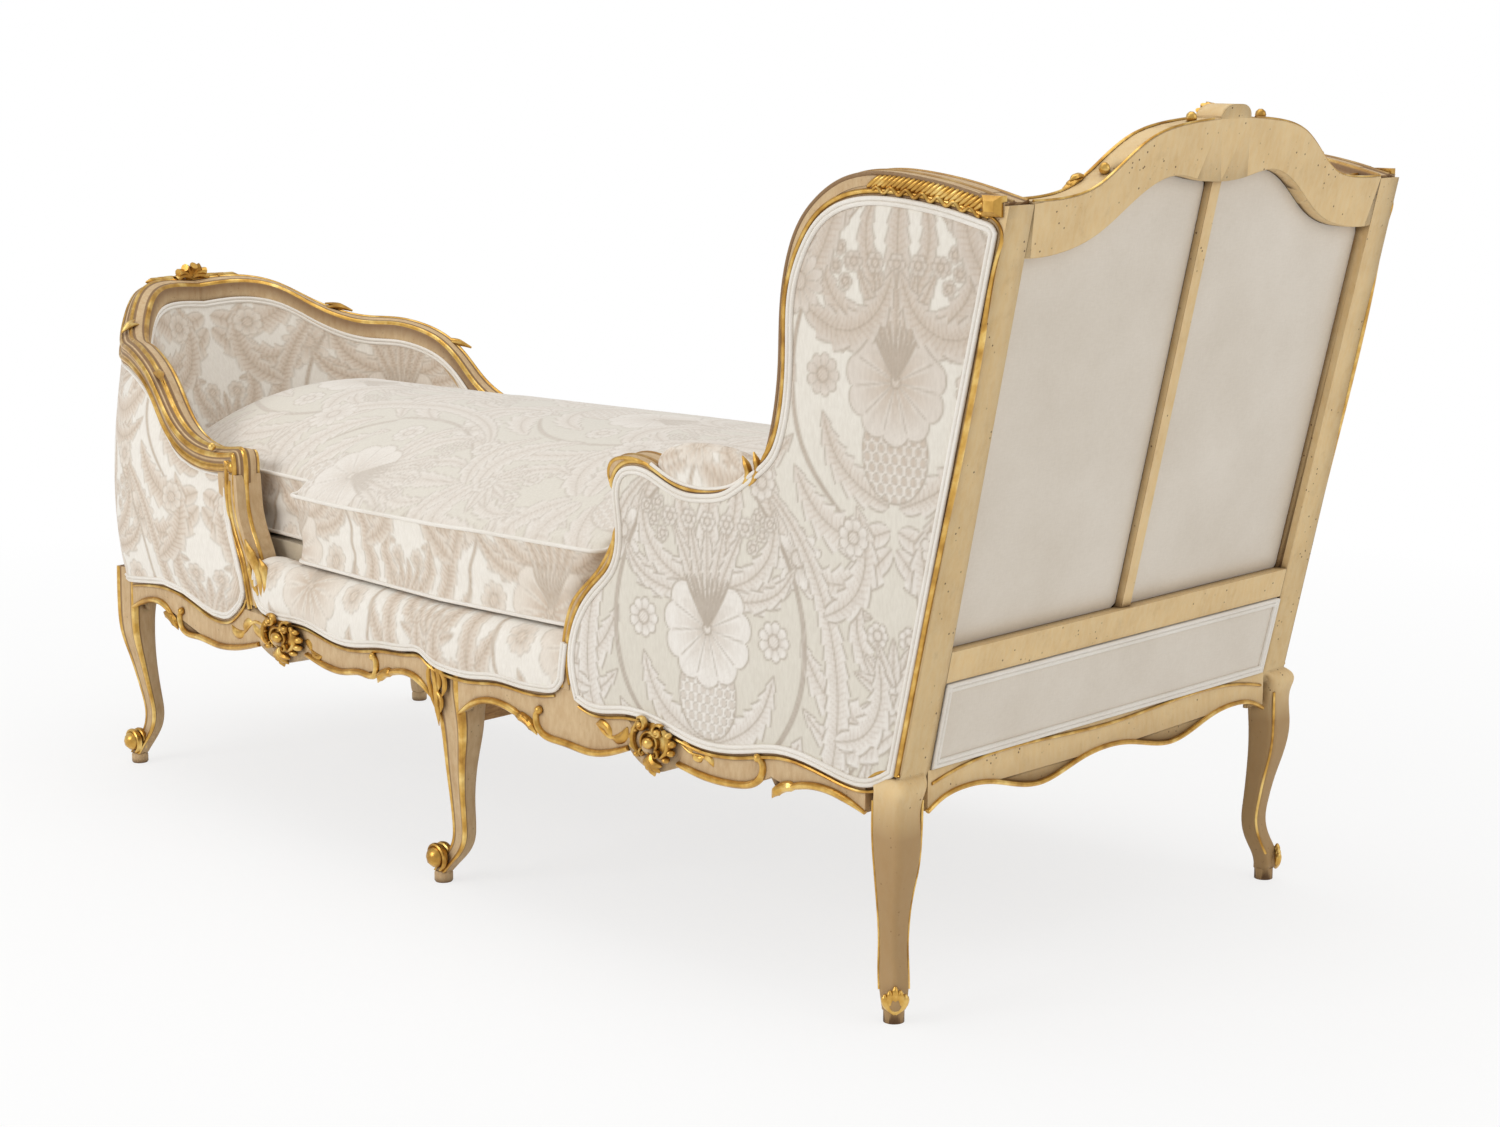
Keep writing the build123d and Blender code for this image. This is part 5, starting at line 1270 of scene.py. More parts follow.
cover_shares = [[(0.350, 0.012), (0.337, 0.076), (0.342, 0.134), (0.364, 0.194), (0.398, 0.241),
     (0.428, 0.279), (0.443, 0.329), (0.441, 0.391), (0.440, 0.445), (0.450, 0.466),
     (0.475, 0.479), (0.507, 0.476), (0.543, 0.459), (0.585, 0.445), (0.628, 0.447),
     (0.663, 0.456), (0.698, 0.481), (0.727, 0.505), (0.754, 0.533), (0.775, 0.587),
     (0.786, 0.660), (0.789, 0.745), (0.791, 0.816), (0.799, 0.862), (0.817, 0.913),
     (0.842, 0.955), (0.875, 0.983), (0.920, 0.999), (0.965, 1.002), (1.030, 0.996),
     (1.090, 0.984), (1.135, 0.971)], [(1.135, 0.971), (1.149, 0.965), (1.1547, 0.955)],
    [(1.1547, 0.955), (0.988, 0.005)],
    [(0.988, 0.005), (0.947, -0.022), (0.872, -0.016), (0.775, 0.000), (0.695, -0.017),
     (0.614, -0.022), (0.531, 0.000), (0.456, 0.008), (0.379, 0.000), (0.350, 0.012)]]
show_wood_shares = [(0.313, 0.0254), (0.315, 0.092), (0.325, 0.161), (0.342, 0.207), (0.382, 0.256),
    (0.424, 0.323), (0.440, 0.383), (0.432, 0.432), (0.421, 0.460), (0.426, 0.484),
    (0.446, 0.497), (0.478, 0.499), (0.510, 0.490), (0.548, 0.469), (0.596, 0.457),
    (0.645, 0.460), (0.686, 0.476), (0.715, 0.500), (0.733, 0.520), (0.747, 0.556),
    (0.760, 0.620), (0.768, 0.700), (0.771, 0.800), (0.779, 0.868), (0.786, 0.900),
    (0.811, 0.963), (0.843, 1.003), (0.883, 1.032), (0.930, 1.046), (1.008, 1.044),
    (1.076, 1.032), (1.168, 1.006)]
wing_top_shares = show_wood_shares[-7:-1] + [(1.135, 1.016)]
cover_line = chain([on_head(run) for run in cover_shares], 4.0)


def head_carrier(outer_inset, side=-1):
    """Puts a panel on the left side at an inset, facing outwards (-1) or inwards (+1)."""
    def place(points, heights):
        return np.stack([x_middle + points[:, 0],
                -side_half + outer_inset + side * heights, points[:, 1]], axis=1)
    return place


def side_covers():
    # Painted sheen: the figure is painted bright on a dull ground low on the cover and greyer, on a
    # brighter ground, towards its top
    upholster("side_cover", *stuffed(cover_line, head_carrier(1.0), puff(0.5, 5.0, 14.0), 2.2, 6.0,
            (-head_span * 0.634 + axis_spacing * 1.5, -435.0),
            ((280, 0.0), (520, 0.15), (700, 0.55), (1000, 0.62))), 0.8)


def on_side(inset):
    return lambda line: np.stack([x_middle + line[:, 0], np.full(len(line), -side_half + inset),
            line[:, 1]], axis=1)


def side_piping():
    """Two cords round the outside cover, the outer one on its line."""
    place = on_side(-2.4)
    paths = [(place(offset_line(cover_line, -gap, True)), True) for gap in (0.0, 2 * piping_radius * 0.96)]
    both_sides(cords(paths, piping_radius), "side_piping", PIPING, "damask")


def inner_side_pads():
    """Pads inside the arms and wings, ending at the back pad and the seat."""
    front = x_ledge - x_middle - crest_thickness - back_pad_thickness
    line = cover_line.copy()
    reach = front + rake * (line[:, 1] - ledge_height) + 40.0
    line[:, 0] = np.minimum(line[:, 0], reach)
    line[:, 1] = np.maximum(line[:, 1], rail_top + 2.0)
    points, faces, layers = stuffed(line, head_carrier(rail_thickness + 0.5, 1),
            rolled(30.0, 26.0, 2.0, 60.0), 2.8, 0.0, (60.0, 40.0))
    upholster("inner_side_pad", points, [f[::-1] for f in faces], layers, 0.7)


moulding_width = rail_thickness + 1.4
moulding_depth = 15.0
head_beads = [(15.0, 2.6, 0.62), (moulding_width - 2.5, 2.6, 0.66)]


def ruled_band(outer, inner, beads, hollow=2.2):
    """A moulded face between two lines: beads at places from either edge, hollow between.

    Beads are (distance from the outer edge, or minus that from the inner edge, radius, the
    share of the stations that is gilded)."""
    columns = 34
    points, gilt = [], []
    for station, (a, b) in enumerate(zip(outer, inner)):
        width = np.linalg.norm(b - a)
        for k in range(columns):
            t = k / (columns - 1)
            rise = -hollow * math.sin(math.pi * t)
            gold = 0.0
            for at, radius, gilded_share in beads:
                d = abs(t * width - (at if at >= 0 else width + at))
                if d < radius:
                    rise = max(rise, math.sqrt(radius * radius - d * d) - radius * bead_sink)
                if d < radius * 1.9:
                    leafed = d < radius and station < len(outer) * gilded_share
                    gold = max(gold, 1.0 if leafed else antiquing_and_shade_gilt)
            mark = a + (b - a) * t
            points.append(side_face(*mark, rise if 0 < k < columns - 1 else -6.0))
            gilt.append(gold)
    return points, grid_faces(len(outer), columns), {"gilt": gilt}


def matched(outer, inner):
    """For each station of one line, the nearest place on another, never going back."""
    gap = ((outer[:, None, :] - inner[None, :, :]) ** 2).sum(-1)
    index = np.maximum.accumulate(gap.argmin(axis=1)).astype(float)
    window = np.ones(9) / 9
    padded = np.concatenate([np.full(4, index[0]), index, np.full(4, index[-1])])
    index = np.convolve(padded, window, mode="valid")
    return read_columns(index, np.arange(len(inner)), inner)


def head_show_wood():
    """The moulding of arm and wing, with its beaded face down to the cover."""
    line = smooth(on_head(show_wood_shares), 3.0)
    place = on_side(-0.7)
    part = sweep(place(line), np.tile([0.0, 1.0, 0.0], (len(line), 1)),
            place(offset_line(line, 1.0)) - place(line),
            *beaded_profile(moulding_width, moulding_depth, head_beads))
    inner = offset_line(smooth(on_head(cover_shares[0]), 2.0), 1.0)
    band = ruled_band(line, matched(line, inner), [(2.6, 2.8, 0.34), (-6.6, 3.3, 1.0)])
    mesh = make_mesh("arm_and_wing_moulding", *join_parts([part, band]), crease=60)
    both_sides(mesh, "arm_and_wing_moulding", PAINT, "painted_wood")


# Foot end

# Share of the quarter turn from the side to the end, and the rail's height share there
rail_sections = [(0.00, 0.00), (0.13, 0.04), (0.215, 0.17), (0.287, 0.36), (0.358, 0.51), (0.437, 0.60),
    (0.51, 0.64), (0.60, 0.65), (0.67, 0.70), (0.73, 0.79), (0.81, 0.94), (0.88, 1.00), (1.00, 0.985)]
knuckle_v = foot_span * 0.592
support_clear_v = foot_span * 0.655
foot_beads = [(2.4, 2.2, 1.0), (17.0, 3.4, 0.95), (40.5, 2.6, 1.0)]
foot_front_shares = [(0.5886, 0.90), (0.5890, 0.82), (0.586, 0.624), (0.572, 0.479), (0.550, 0.333),
    (0.538, 0.207), (0.524, 0.0)]
foot_cover_edge = [(456, 300), (457, 318), (459, 336), (471, 367), (485, 398), (497, 429),
        (503, 461), (515, 483), (530, 488)]


def foot_show_wood():
    """The top rail round the foot end, rolling over into both arm supports."""
    half = [foot_point(foot_span * v, support_height(z), -0.7) for v, z in foot_front_shares[::-1]]
    half += [foot_point(knuckle_v + 5.0, foot_rail_low + 0.5, -0.7),
             foot_point(knuckle_v + 22.0, foot_rail_low + 1.0, -0.5)]
    half += [radial(quarter(turn), rail_radius(quarter(turn)), rail_height(share))
             for turn, share in rail_sections[1:]]
    half = smooth(half, 4.0)
    line = np.vstack([half, (half * [1, -1, 1])[::-1][1:]])
    ahead = unit(np.gradient(line, axis=0))
    level = []
    for x, y, _ in line:
        toward_axis = unit([foot_axis_x - x, -y, 0.0])
        straight = inward * [1, -np.sign(y), 1]
        share = np.clip((x_middle - knuckle_v - 40.0 - x) / 120.0, 0, 1)
        level.append(unit(straight * (1 - share) + toward_axis * share))
    level = np.array(level)
    level = unit(level - ahead * (level * ahead).sum(-1)[:, None])
    out = np.cross(level, ahead)
    out *= np.where(out[:, 2] + out[:, 0] < 0, -1, 1)[:, None]
    part = sweep(line, level, out, *beaded_profile(foot_rail_width, foot_rail_depth - 1.0,
            foot_beads, 9.0, (26.0, 2.8)))
    mesh = facing_out(make_mesh("foot_top_rail", *part, crease=60))
    show(mesh, "foot_top_rail", PAINT, "painted_wood",
         replaced=["foot_rail_left", "foot_rail_right", "foot_crest_rail"])
    front = smooth([(-foot_span * v, support_height(z)) for v, z in foot_front_shares[:0:-1]],
            3.0) + [-4.0, 0.0]
    rear = smooth([(-v, z) for v, z in foot_cover_edge], 3.0)
    band = ruled_band(front, matched(front, rear), [(16.0, 3.6, 1.0), (-6.5, 2.8, 1.0)], 1.6)
    both_sides(make_mesh("foot_support_face", *band, crease=60), "foot_support_face", PAINT, "painted_wood")


# How far from its front edges the foot's outer cover eases into them
edge_blend = 120.0


def foot_shell_grid(inset_low, inset_high, low_line, top_gap, bulge, step, dome, edge_roll,
        front_edge=None):
    """A grid over the foot end from one support to the other: rows go up, columns round."""
    stations = [("side", support_clear_v - 2.0)] + [("turn", turn) for turn, _ in rail_sections]
    rows = []
    for kind, value in stations:
        if kind == "side":
            low = foot_point(value, 0, inset_low)
            high = foot_point(value, 0, inset_high)
            top = foot_rail_low - foot_rail_depth - top_gap
            swell = bulge / 3
            out = -inward
        else:
            angle = quarter(value)
            share = dict(rail_sections)[value]
            low = radial(angle, seat_radius(angle) - inset_low, 0)
            high = radial(angle, rail_radius(angle) - inset_high, 0)
            top = rail_height(share) - foot_rail_depth - top_gap
            swell = bulge * (1 + 2 * math.sin(angle)) / 3
            out = np.array([-math.sin(angle), -math.cos(angle), 0])
        rows.append(np.concatenate([low[:2], high[:2], [top, swell], out[:2]]))
    half = smooth(rows, 1.0, 40)
    half = half[np.linspace(0, len(half) - 1, 260).astype(int)]
    flat = half[:, :2] + half[:, 2:4]
    lengths = np.concatenate([[0], np.cumsum(np.linalg.norm(np.diff(flat / 2, axis=0), axis=1))])
    at = np.linspace(0, lengths[-1], int(lengths[-1] / step))
    half = read_columns(at, lengths, half)
    twin = half[::-1][1:].copy()
    twin[:, [1, 3, 7]] *= -1
    full = np.vstack([half, twin])
    around = np.concatenate([at, 2 * at[-1] - at[::-1][1:]]) - at[-1]
    height_steps = int((foot_rail_high - rail_top) / step)
    share = np.linspace(0, 1, height_steps)
    low_z = np.array([low_line(around[-1] - abs(a)) for a in around])
    tall = (full[:, 4] - low_z)[:, None]
    z = low_z[:, None] + tall * share[None, :]
    lean = np.clip((z - rail_top) / (full[:, 4] - rail_top)[:, None], 0, 1)
    arc = 4 * lean * (1 - lean)
    run_end = around[-1] - np.abs(around)
    edge = np.minimum(np.minimum(share[None, :] * tall, (1 - share[None, :]) * tall), run_end[:, None])
    lift = arc * full[:, 5][:, None] + dome * (1 - np.exp(-edge / edge_roll))
    x, y = (full[:, k, None] * (1 - lean) + full[:, k + 2, None] * lean
            + full[:, k + 6, None] * lift for k in (0, 1))
    points = np.stack([x, y, z], axis=-1)
    if front_edge:
        edge_v, edge_z = np.array(front_edge).T
        reach = np.clip(1 - run_end / edge_blend, 0, 1)[:, None]
        forward = (support_clear_v - 2.0 - np.interp(z, edge_z, edge_v)) * reach
        points[..., 0] -= along[0] * forward
        points[..., 1] -= along[1] * forward * np.where(points[..., 1] > 0, -1, 1)
    uv = np.stack([np.repeat(around[:, None], height_steps, axis=1), z], axis=-1)
    return points, uv


def foot_low_line(run):
    """Height of the outer cover's lower edge so far round from its front edge."""
    v = support_clear_v - 2.0 + run - 67.0 * max(0.0, 1 - run / edge_blend)
    return float(np.interp(v, *np.array(foot_low_marks).T))


def foot_outer_cover():
    points, uv = foot_shell_grid(-1.0, 7.0, foot_low_line, 1.0, 20.0, 2.6, 4.0, 14.0, foot_cover_edge)
    upholster("foot_outer_cover", points.reshape(-1, 3), grid_faces(*points.shape[:2], flip=True),
              damask_layers(uv.reshape(-1, 2) + [axis_spacing * 0.5, 300.0]), 0.8, False)
    paths = (cord_pair(points[:, 0], points[:, 2]) + cord_pair(points[:, -1], points[:, -3])
             + cord_pair(points[0], points[1]) + cord_pair(points[-1], points[-2]))
    show(cords(paths, piping_radius), "foot_outer_piping", PIPING, "damask")


def foot_inner_pad():
    points, uv = foot_shell_grid(54.0, 50.0, lambda run: deck_top - 8.0, 0.0, 8.0, 2.8, 0.0, 10.0)
    upholster("foot_inner_pad", points.reshape(-1, 3), grid_faces(*points.shape[:2]),
              damask_layers(uv.reshape(-1, 2) + [axis_spacing * 0.5, 100.0]), 0.8, False)
    paths = cord_pair(points[:, -1], points[:, -3])
    show(cords(paths, piping_radius), "foot_inner_piping", PIPING, "damask")


# The seat

# (inset, share of the height) up and over the border
border_section = [(-1.0, 0.00), (-5.0, 0.10), (-6.5, 0.40), (-4.0, 0.68), (3.0, 0.86),
        (13.0, 0.96), (26.0, 1.00), (42.0, 0.97), (54.0, 0.88), (58.0, 0.75)]
border_top = 368.0


def seat_borders():
    """The stuffed rolls between the side rails and the cushion."""
    line = smooth(border_low, 3.0)
    section = smooth(np.array(border_section) * [1, 68.0], 3.0) / [1, 68.0]
    points, uv = [], []
    for run, low in line:
        girth = 0.0
        previous = None
        end = min(run + 424.0, 252.0 - run)
        close = 1 - math.exp(-max(0.0, end) / 14.0)
        for inset, share in section:
            z = low + (border_top - low) * share
            here = side_point(run, z, inset if inset > 0 else inset * close)
            if previous is not None:
                girth += np.linalg.norm(here - previous)
            previous = here
            points.append(here)
            uv.append((run, low + girth))
    upholster("seat_border", points, grid_faces(len(line), len(section)),
              damask_layers(np.array(uv) + [140.0, 240.0]), 0.7)
    rise = smooth([(-424, 315), (-428, 335), (-424, 355)], 3.0)
    fall = smooth([(252, 312), (255, 335), (259, 358)], 3.0)
    whole = np.vstack([rise[::-1], line[1:-1], fall])
    paths = [(np.array([side_point(run, z, -3.2) for run, z in offset_line(whole, gap)]), False)
             for gap in (0.0, cord_spacing)]
    both_sides(cords(paths, piping_radius), "border_piping", PIPING, "damask")


cushion_gap = 0.6
cushion_ease = 4.0
cushion_ear_inset = 21.0
cushion_neck_inset = 62.0
end_arc_radius = 430.0
end_arc_turn = 20.0
cushion_seam_low = 393.0
cushion_seam_high = 476.0
cushion_crown = 572.0


def round_end():
    """Plan of the cushion's end: an arc from the slanting side into the end's wide arc."""
    turn = math.radians(end_arc_turn)
    centre = np.array([x_end - end_bow + cushion_neck_inset + end_arc_radius, 0, 0])
    out = np.array([-math.cos(turn), -math.sin(turn), 0])
    lean = -out @ inward
    reach = (centre - foot_point(0, 0, cushion_neck_inset)) @ inward
    radius = (reach - end_arc_radius * lean) / (1 - lean)
    middle = centre + out * (end_arc_radius - radius)
    start = math.atan2(-inward[1], -inward[0])
    finish = math.atan2(out[1], out[0])
    if start > 0:
        start -= 2 * math.pi
    arcs = [(middle, radius, np.linspace(start, finish, 14)),
            (centre, end_arc_radius, np.linspace(finish, -math.pi, 12)[1:])]
    return [axis[:2] + size * np.array([math.cos(a), math.sin(a)])
            for axis, size, angles in arcs for a in angles]


def cushion_plan(share):
    """Left half of the cushion's plan at a share of the height between its seams."""
    ear_head = head_span * (0.310 + (0.366 - 0.310) * share)
    ear_foot = foot_span * (0.440 + (0.463 - 0.440) * share)
    head_u = (head_span + rake * (deck_top - 40.0 - ledge_height) - crest_thickness
              - back_pad_thickness - cushion_gap - cushion_ease)
    half = side_half - rail_thickness - side_pad_thickness - cushion_gap - cushion_ease
    marks = [np.array([x_middle + head_u, 0.0]), np.array([x_middle + head_u, -half]),
             np.array([x_middle + ear_head, -half]), head_point(ear_head, 0, cushion_ear_inset)[:2],
             head_point(0, 0, cushion_ear_inset)[:2], foot_point(ear_foot, 0, cushion_ear_inset)[:2],
             foot_point(ear_foot, 0, cushion_neck_inset)[:2]]
    rounded = [marks[0]]
    end = round_end()
    for before, here, after in zip(marks, marks[1:], marks[2:] + [end[0]]):
        a, b = unit(before - here), unit(after - here)
        sharp = abs(a @ b) < 0.9
        cut = min(19.8 if sharp else 3.0, np.linalg.norm(before - here) * 0.45,
                  np.linalg.norm(after - here) * 0.45)
        for t in np.linspace(0, 1, 7):
            rounded.append((here + a * cut) * (1 - t) ** 2 + here * 2 * t * (1 - t)
                    + (here + b * cut) * t ** 2)
    return np.array(rounded + end)


cushion_perimeter = 760
under_steps = 18
side_steps = 30
top_steps = 120
crown_power = 2.1


def cushion_rings():
    """Rings of the closed cushion from its underside over both seams to its crown line."""
    marks = np.linspace(0, 1, cushion_perimeter)
    plans = (resample(cushion_plan(share), 1.0) for share in (0.0, 1.0))
    low, high = (read_columns(marks, np.linspace(0, 1, len(plan)), plan) for plan in plans)

    def droop(plan, most):
        """How far the ears sink over the border, outside the deck."""
        across = side_half - side_slant * np.clip((x_middle - plan[:, 0]) / foot_span, 0, 1)
        inset = across + plan[:, 1]
        share = np.clip((60.0 - inset) / 26.0, 0, 1)
        return most * share * share * (3 - 2 * share)

    low_sink, high_sink = droop(low, 19.0), droop(high, 5.0)
    high_sink += droop(high, 8.0) * np.clip((x_middle + 60.0 - high[:, 0]) / 300.0, 0, 1)
    seams = cushion_seam_low - low_sink, cushion_seam_high - high_sink
    rings, uv = [], []

    def spine(plan):
        """The line along the middle where the rings close."""
        return np.stack([np.clip(plan[:, 0] * 0.86, -560.0, 470.0), np.zeros(len(plan))], axis=1)

    for k in range(under_steps):
        t = (k / (under_steps - 1)) ** 0.8
        ring = spine(low) * (1 - t) + low * t
        z = deck_top + 1.0 + (cushion_seam_low - deck_top - 1.0) * max(0.0, (t - 0.93) / 0.07)
        rings.append(np.column_stack([ring, z - low_sink * max(0.0, (t - 0.7) / 0.3)]))
        uv.append(np.column_stack([ring[:, 1], ring[:, 0]]))
    run = marks * np.linalg.norm(np.diff(high, axis=0), axis=1).sum()
    for k in range(1, side_steps):
        t = k / side_steps
        ring = low * (1 - t) + high * t
        pull = 6.0 * math.sin(math.pi * t) - 5.0 * math.sin(math.pi * t) ** 8
        normal = np.gradient(ring, axis=0)
        normal = unit(np.stack([normal[:, 1], -normal[:, 0]], axis=1))
        ring = ring + normal * pull
        z = seams[0] + (seams[1] - seams[0]) * t
        rings.append(np.column_stack([ring, z]))
        uv.append(np.column_stack([run, z]))
    rng = np.random.default_rng(7)
    waves = [(rng.uniform(0.010, 0.03), rng.uniform(0, 6.28), rng.uniform(0.5, 1.0)) for _ in range(9)]
    for k in range(top_steps + 1):
        t = k / top_steps
        ring = high * (1 - t) + spine(high) * t
        width = np.hypot(*(high - spine(high)).T)
        fullness = np.clip(width / 300.0, 0.35, 1.0)
        rise = 1 - (1 - t) ** crown_power
        z = seams[1] + (cushion_crown - seams[1]) * rise
        pucker = sum(a * np.sin(run * f + p) for f, p, a in waves)
        pucker = pucker * 1.1 * math.exp(-t * 9) * min(1.0, t * 25)
        dip = 5.0 * math.exp(-((t - 0.02) / 0.02) ** 2)
        rings.append(np.column_stack([ring, z + pucker * fullness - dip]))
        uv.append(np.column_stack([ring[:, 1], ring[:, 0]]))
    return (np.array(rings), np.array(uv), np.column_stack([low, seams[0]]),
            np.column_stack([high, seams[1]]))


def seat_cushion():
    """The loose cushion, closed along its middle, with a cord along both seams."""
    rings, uv, low, high = cushion_rings()
    count, width = rings.shape[:2]
    left = rings.reshape(-1, 3)
    side_rows = slice(under_steps, under_steps + side_steps - 1)
    mirrored_uv = uv * [-1, 1]
    mirrored_uv[side_rows] = uv[side_rows]
    faces = grid_faces(count, width)
    faces += [[i + len(left) for i in f][::-1] for f in faces]
    # Painted sheen: the top is painted with a bright figure on a duller ground and fainter lines and
    # shading, the sides with a tan figure on a bright ground
    turned = np.full((2, count, width), 0.24)
    turned[:, side_rows] = 1.0
    strength = np.where(turned < 1.0, 0.6, 1.0).ravel()
    mesh = make_mesh("seat_cushion", np.vstack([left, left * [1, -1, 1]]), faces,
            damask_layers(np.vstack([uv.reshape(-1, 2), mirrored_uv.reshape(-1, 2)])
                + [axis_spacing * 0.5, 210.0], turned.ravel(), strength))
    mesh = facing_out(mesh)
    mesh.polygons.foreach_set("use_smooth", [True] * len(mesh.polygons))
    show(mesh, "seat_cushion", DAMASK, "damask", "seat_cushion", ["seat_cushion"], 0.85)
    paths = [(np.vstack([half, (half * [1, -1, 1])[::-1][1:-1]]), True) for half in (low, high)]
    show(cords(paths, 2.6), "cushion_piping", PIPING, "damask", "seat_cushion")


def arm_pads():
    """Domed pads in the sag of the arm rails."""
    lines = (smooth(on_head(shares), 3.0) for shares in (
        [(0.512, 0.488), (0.548, 0.469), (0.596, 0.457), (0.645, 0.460), (0.686, 0.476), (0.712, 0.500)],
        [(0.512, 0.490), (0.522, 0.514), (0.550, 0.530), (0.600, 0.537), (0.655, 0.535),
         (0.695, 0.520), (0.712, 0.502)]))
    marks = np.linspace(0, 1, 90)
    low, top = (read_columns(marks, np.linspace(0, 1, len(a)), a) for a in lines)
    points, uv = [], []
    turns = np.linspace(0, math.pi, 26)
    for mark, here, above in zip(marks, low, top):
        half = 19.5 * math.sqrt(max(0.0, 1 - (2 * mark - 1) ** 6)) + 0.2
        for turn in turns:
            across = 20.5 - half * math.cos(turn)
            lift = math.sin(turn) ** 0.7
            place = here * (1 - lift) + above * lift
            points.append(head_point(*place, across))
            uv.append((place[0], across + 40 * lift))
    upholster("arm_pad", points, grid_faces(len(marks), len(turns), flip=True),
              damask_layers(np.array(uv) + [90.0, 330.0]), 0.8)
    paths = [(np.array([head_point(u, z + 1.5, 1.0) for u, z in low]), False)]
    both_sides(cords(paths, 2.4), "arm_pad_piping", PIPING, "damask")


# The back

crest_under = [(1.00, 0.910), (0.80, 0.915), (0.64, 0.940), (0.50, 0.985), (0.38, 1.020), (0.27, 1.032),
    (0.14, 1.022), (0.00, 1.016)]
cross_low = head_z(0.162)
cross_high = head_z(0.220)
stile_width = 19.0
rear_out = unit([1.0, 0.0, -rake])


def post_inner(z):
    low, high = side_half - post_width_low, side_half - post_width_high
    return low + (high - low) * (z - ledge_height) / back_rise


def rear_carrier(inset, side=1):
    def place(points, heights):
        base = np.stack([x_ledge + rake * (points[:, 1] - ledge_height) - inset, points[:, 0],
                points[:, 1]], axis=1)
        return base + rear_out * (heights * side)[:, None]
    return place


def back_panels():
    """The plain satin panels at the rear, the lower one piped."""
    half_top = side_half - post_width_high
    top = smooth([(-half_top * y, head_z(z)) for y, z in crest_under], 4.0)
    top = top[top[:, 0] < -stile_width / 2]
    top = np.vstack([top, [(-stile_width / 2, top[-1, 1])]])
    line = np.vstack([top, [(-stile_width / 2, cross_high), (-post_inner(cross_high), cross_high)]])
    part = stuffed(resample(line, 6.0)[::-1], rear_carrier(18.0), puff(0.0, 4.0, 30.0), 5.0, 2.0)
    both_sides(make_mesh("back_panel", *part[:2]), "back_panel", SATIN, "satin", ["back_panel"])
    low, high = (post_inner(z) - 1.0 for z in (ledge_height, cross_low))
    lower = np.array([(-low, ledge_height + 1.0), (low, ledge_height + 1.0), (high, cross_low),
            (-high, cross_low)])
    part = stuffed(lower, rear_carrier(4.0), puff(1.0, 5.0, 16.0), 4.0, 4.0)
    show(make_mesh("back_lower_panel", *part[:2]), "back_lower_panel", SATIN, "satin",
         replaced=["back_lower_panel"])
    path = resample(lower, 4.0, closed=True)
    paths = [(rear_carrier(4.0)(offset_line(path, gap + 3.0, True), np.full(len(path), 4.5)), True)
             for gap in (0.0, cord_spacing)]
    show(cords(paths, piping_radius), "lower_panel_piping", PIPING, "satin")


def inner_back_pad():
    pad_half = side_half - rail_thickness - side_pad_thickness - 1.0
    top = smooth([(-pad_half * y, head_z(z) + back_rise * 0.022) for y, z in crest_under], 4.0)
    outline = np.vstack([top, (top * [-1, 1])[::-1][1:],
            [(pad_half, deck_top - 20.0), (-pad_half, deck_top - 20.0)]])
    points, faces, layers = stuffed(outline[::-1], rear_carrier(crest_thickness + 0.5, -1),
            rolled(44.0, 40.0, 9.0, 110.0), 3.0, 0.0, (axis_spacing * 0.5, 210.0))
    upholster("inner_back_pad", points, [f[::-1] for f in faces], layers, 0.75, False)


# Wood that keeps its construction, with its edges eased

def eased_copy(node, width, material, slot, segments=2):
    """A copy of a construction piece with coinciding points joined and sharp edges rounded."""
    mesh = frame["nodes"][node].data.copy()
    work = bmesh.new()
    work.from_mesh(mesh)
    bmesh.ops.remove_doubles(work, verts=work.verts, dist=0.01 * MM)
    bmesh.ops.dissolve_limit(work, angle_limit=math.radians(0.5), verts=work.verts, edges=work.edges)
    sharp = [e for e in work.edges if len(e.link_faces) == 2 and e.calc_face_angle(0.0) > math.radians(35)]
    bmesh.ops.bevel(work, geom=sharp, offset=width * MM, segments=segments, affect="EDGES",
            clamp_overlap=True)
    bmesh.ops.triangulate(work, faces=work.faces)
    work.to_mesh(mesh)
    work.free()
    mesh.polygons.foreach_set("use_smooth", [True] * len(mesh.polygons))
    mesh.set_sharp_from_angle(angle=math.radians(19))
    return show(mesh, node + "_wood", material, slot, replaced=[node])


def wood():
    for side in ("_left", "_right"):
        eased_copy("back_post" + side, 1.6, POST_PAINT, "painted_wood")
        for stem in ("side_rail_head", "side_rail_foot"):
            eased_copy(stem + side, 1.2, PAINT, "painted_wood")
    for node in ("crest_rail", "back_cross_rail", "back_centre_stile", "rear_seat_rail"):
        eased_copy(node, 1.8, POST_PAINT, "painted_wood")
    eased_copy("end_seat_rail", 1.8, PAINT, "painted_wood")


def deck():
    """The stuffed platform under the cushion, in its calico, with its edges rolled."""
    made = eased_copy("seat_deck", 9.0, CALICO, "deck_cloth", 3)


head_strap_shares = [0.108, 0.318, 0.527, 0.737]
foot_strap_shares = [0.206, 0.412, 0.619, 0.825]
strap_half = 25.0
strap_inset = 24.5


def strap(start, end, across):
    """A flat band, 2 mm thick, with a ribbed weave."""
    count = 60
    points = []
    for t in np.linspace(0, 1, count):
        middle = start + (end - start) * t
        for side in (-1, -0.5, 0, 0.5, 1, 1, 0.5, 0, -0.5, -1):
            face = 1 if len(points) % 10 < 5 else -1
            rib = 0.25 * math.sin(t * 90 + side * 9)
            points.append(middle + across * (strap_half * side) + UP * (face + rib))
    return np.array(points), tube_faces(count, 10), {}


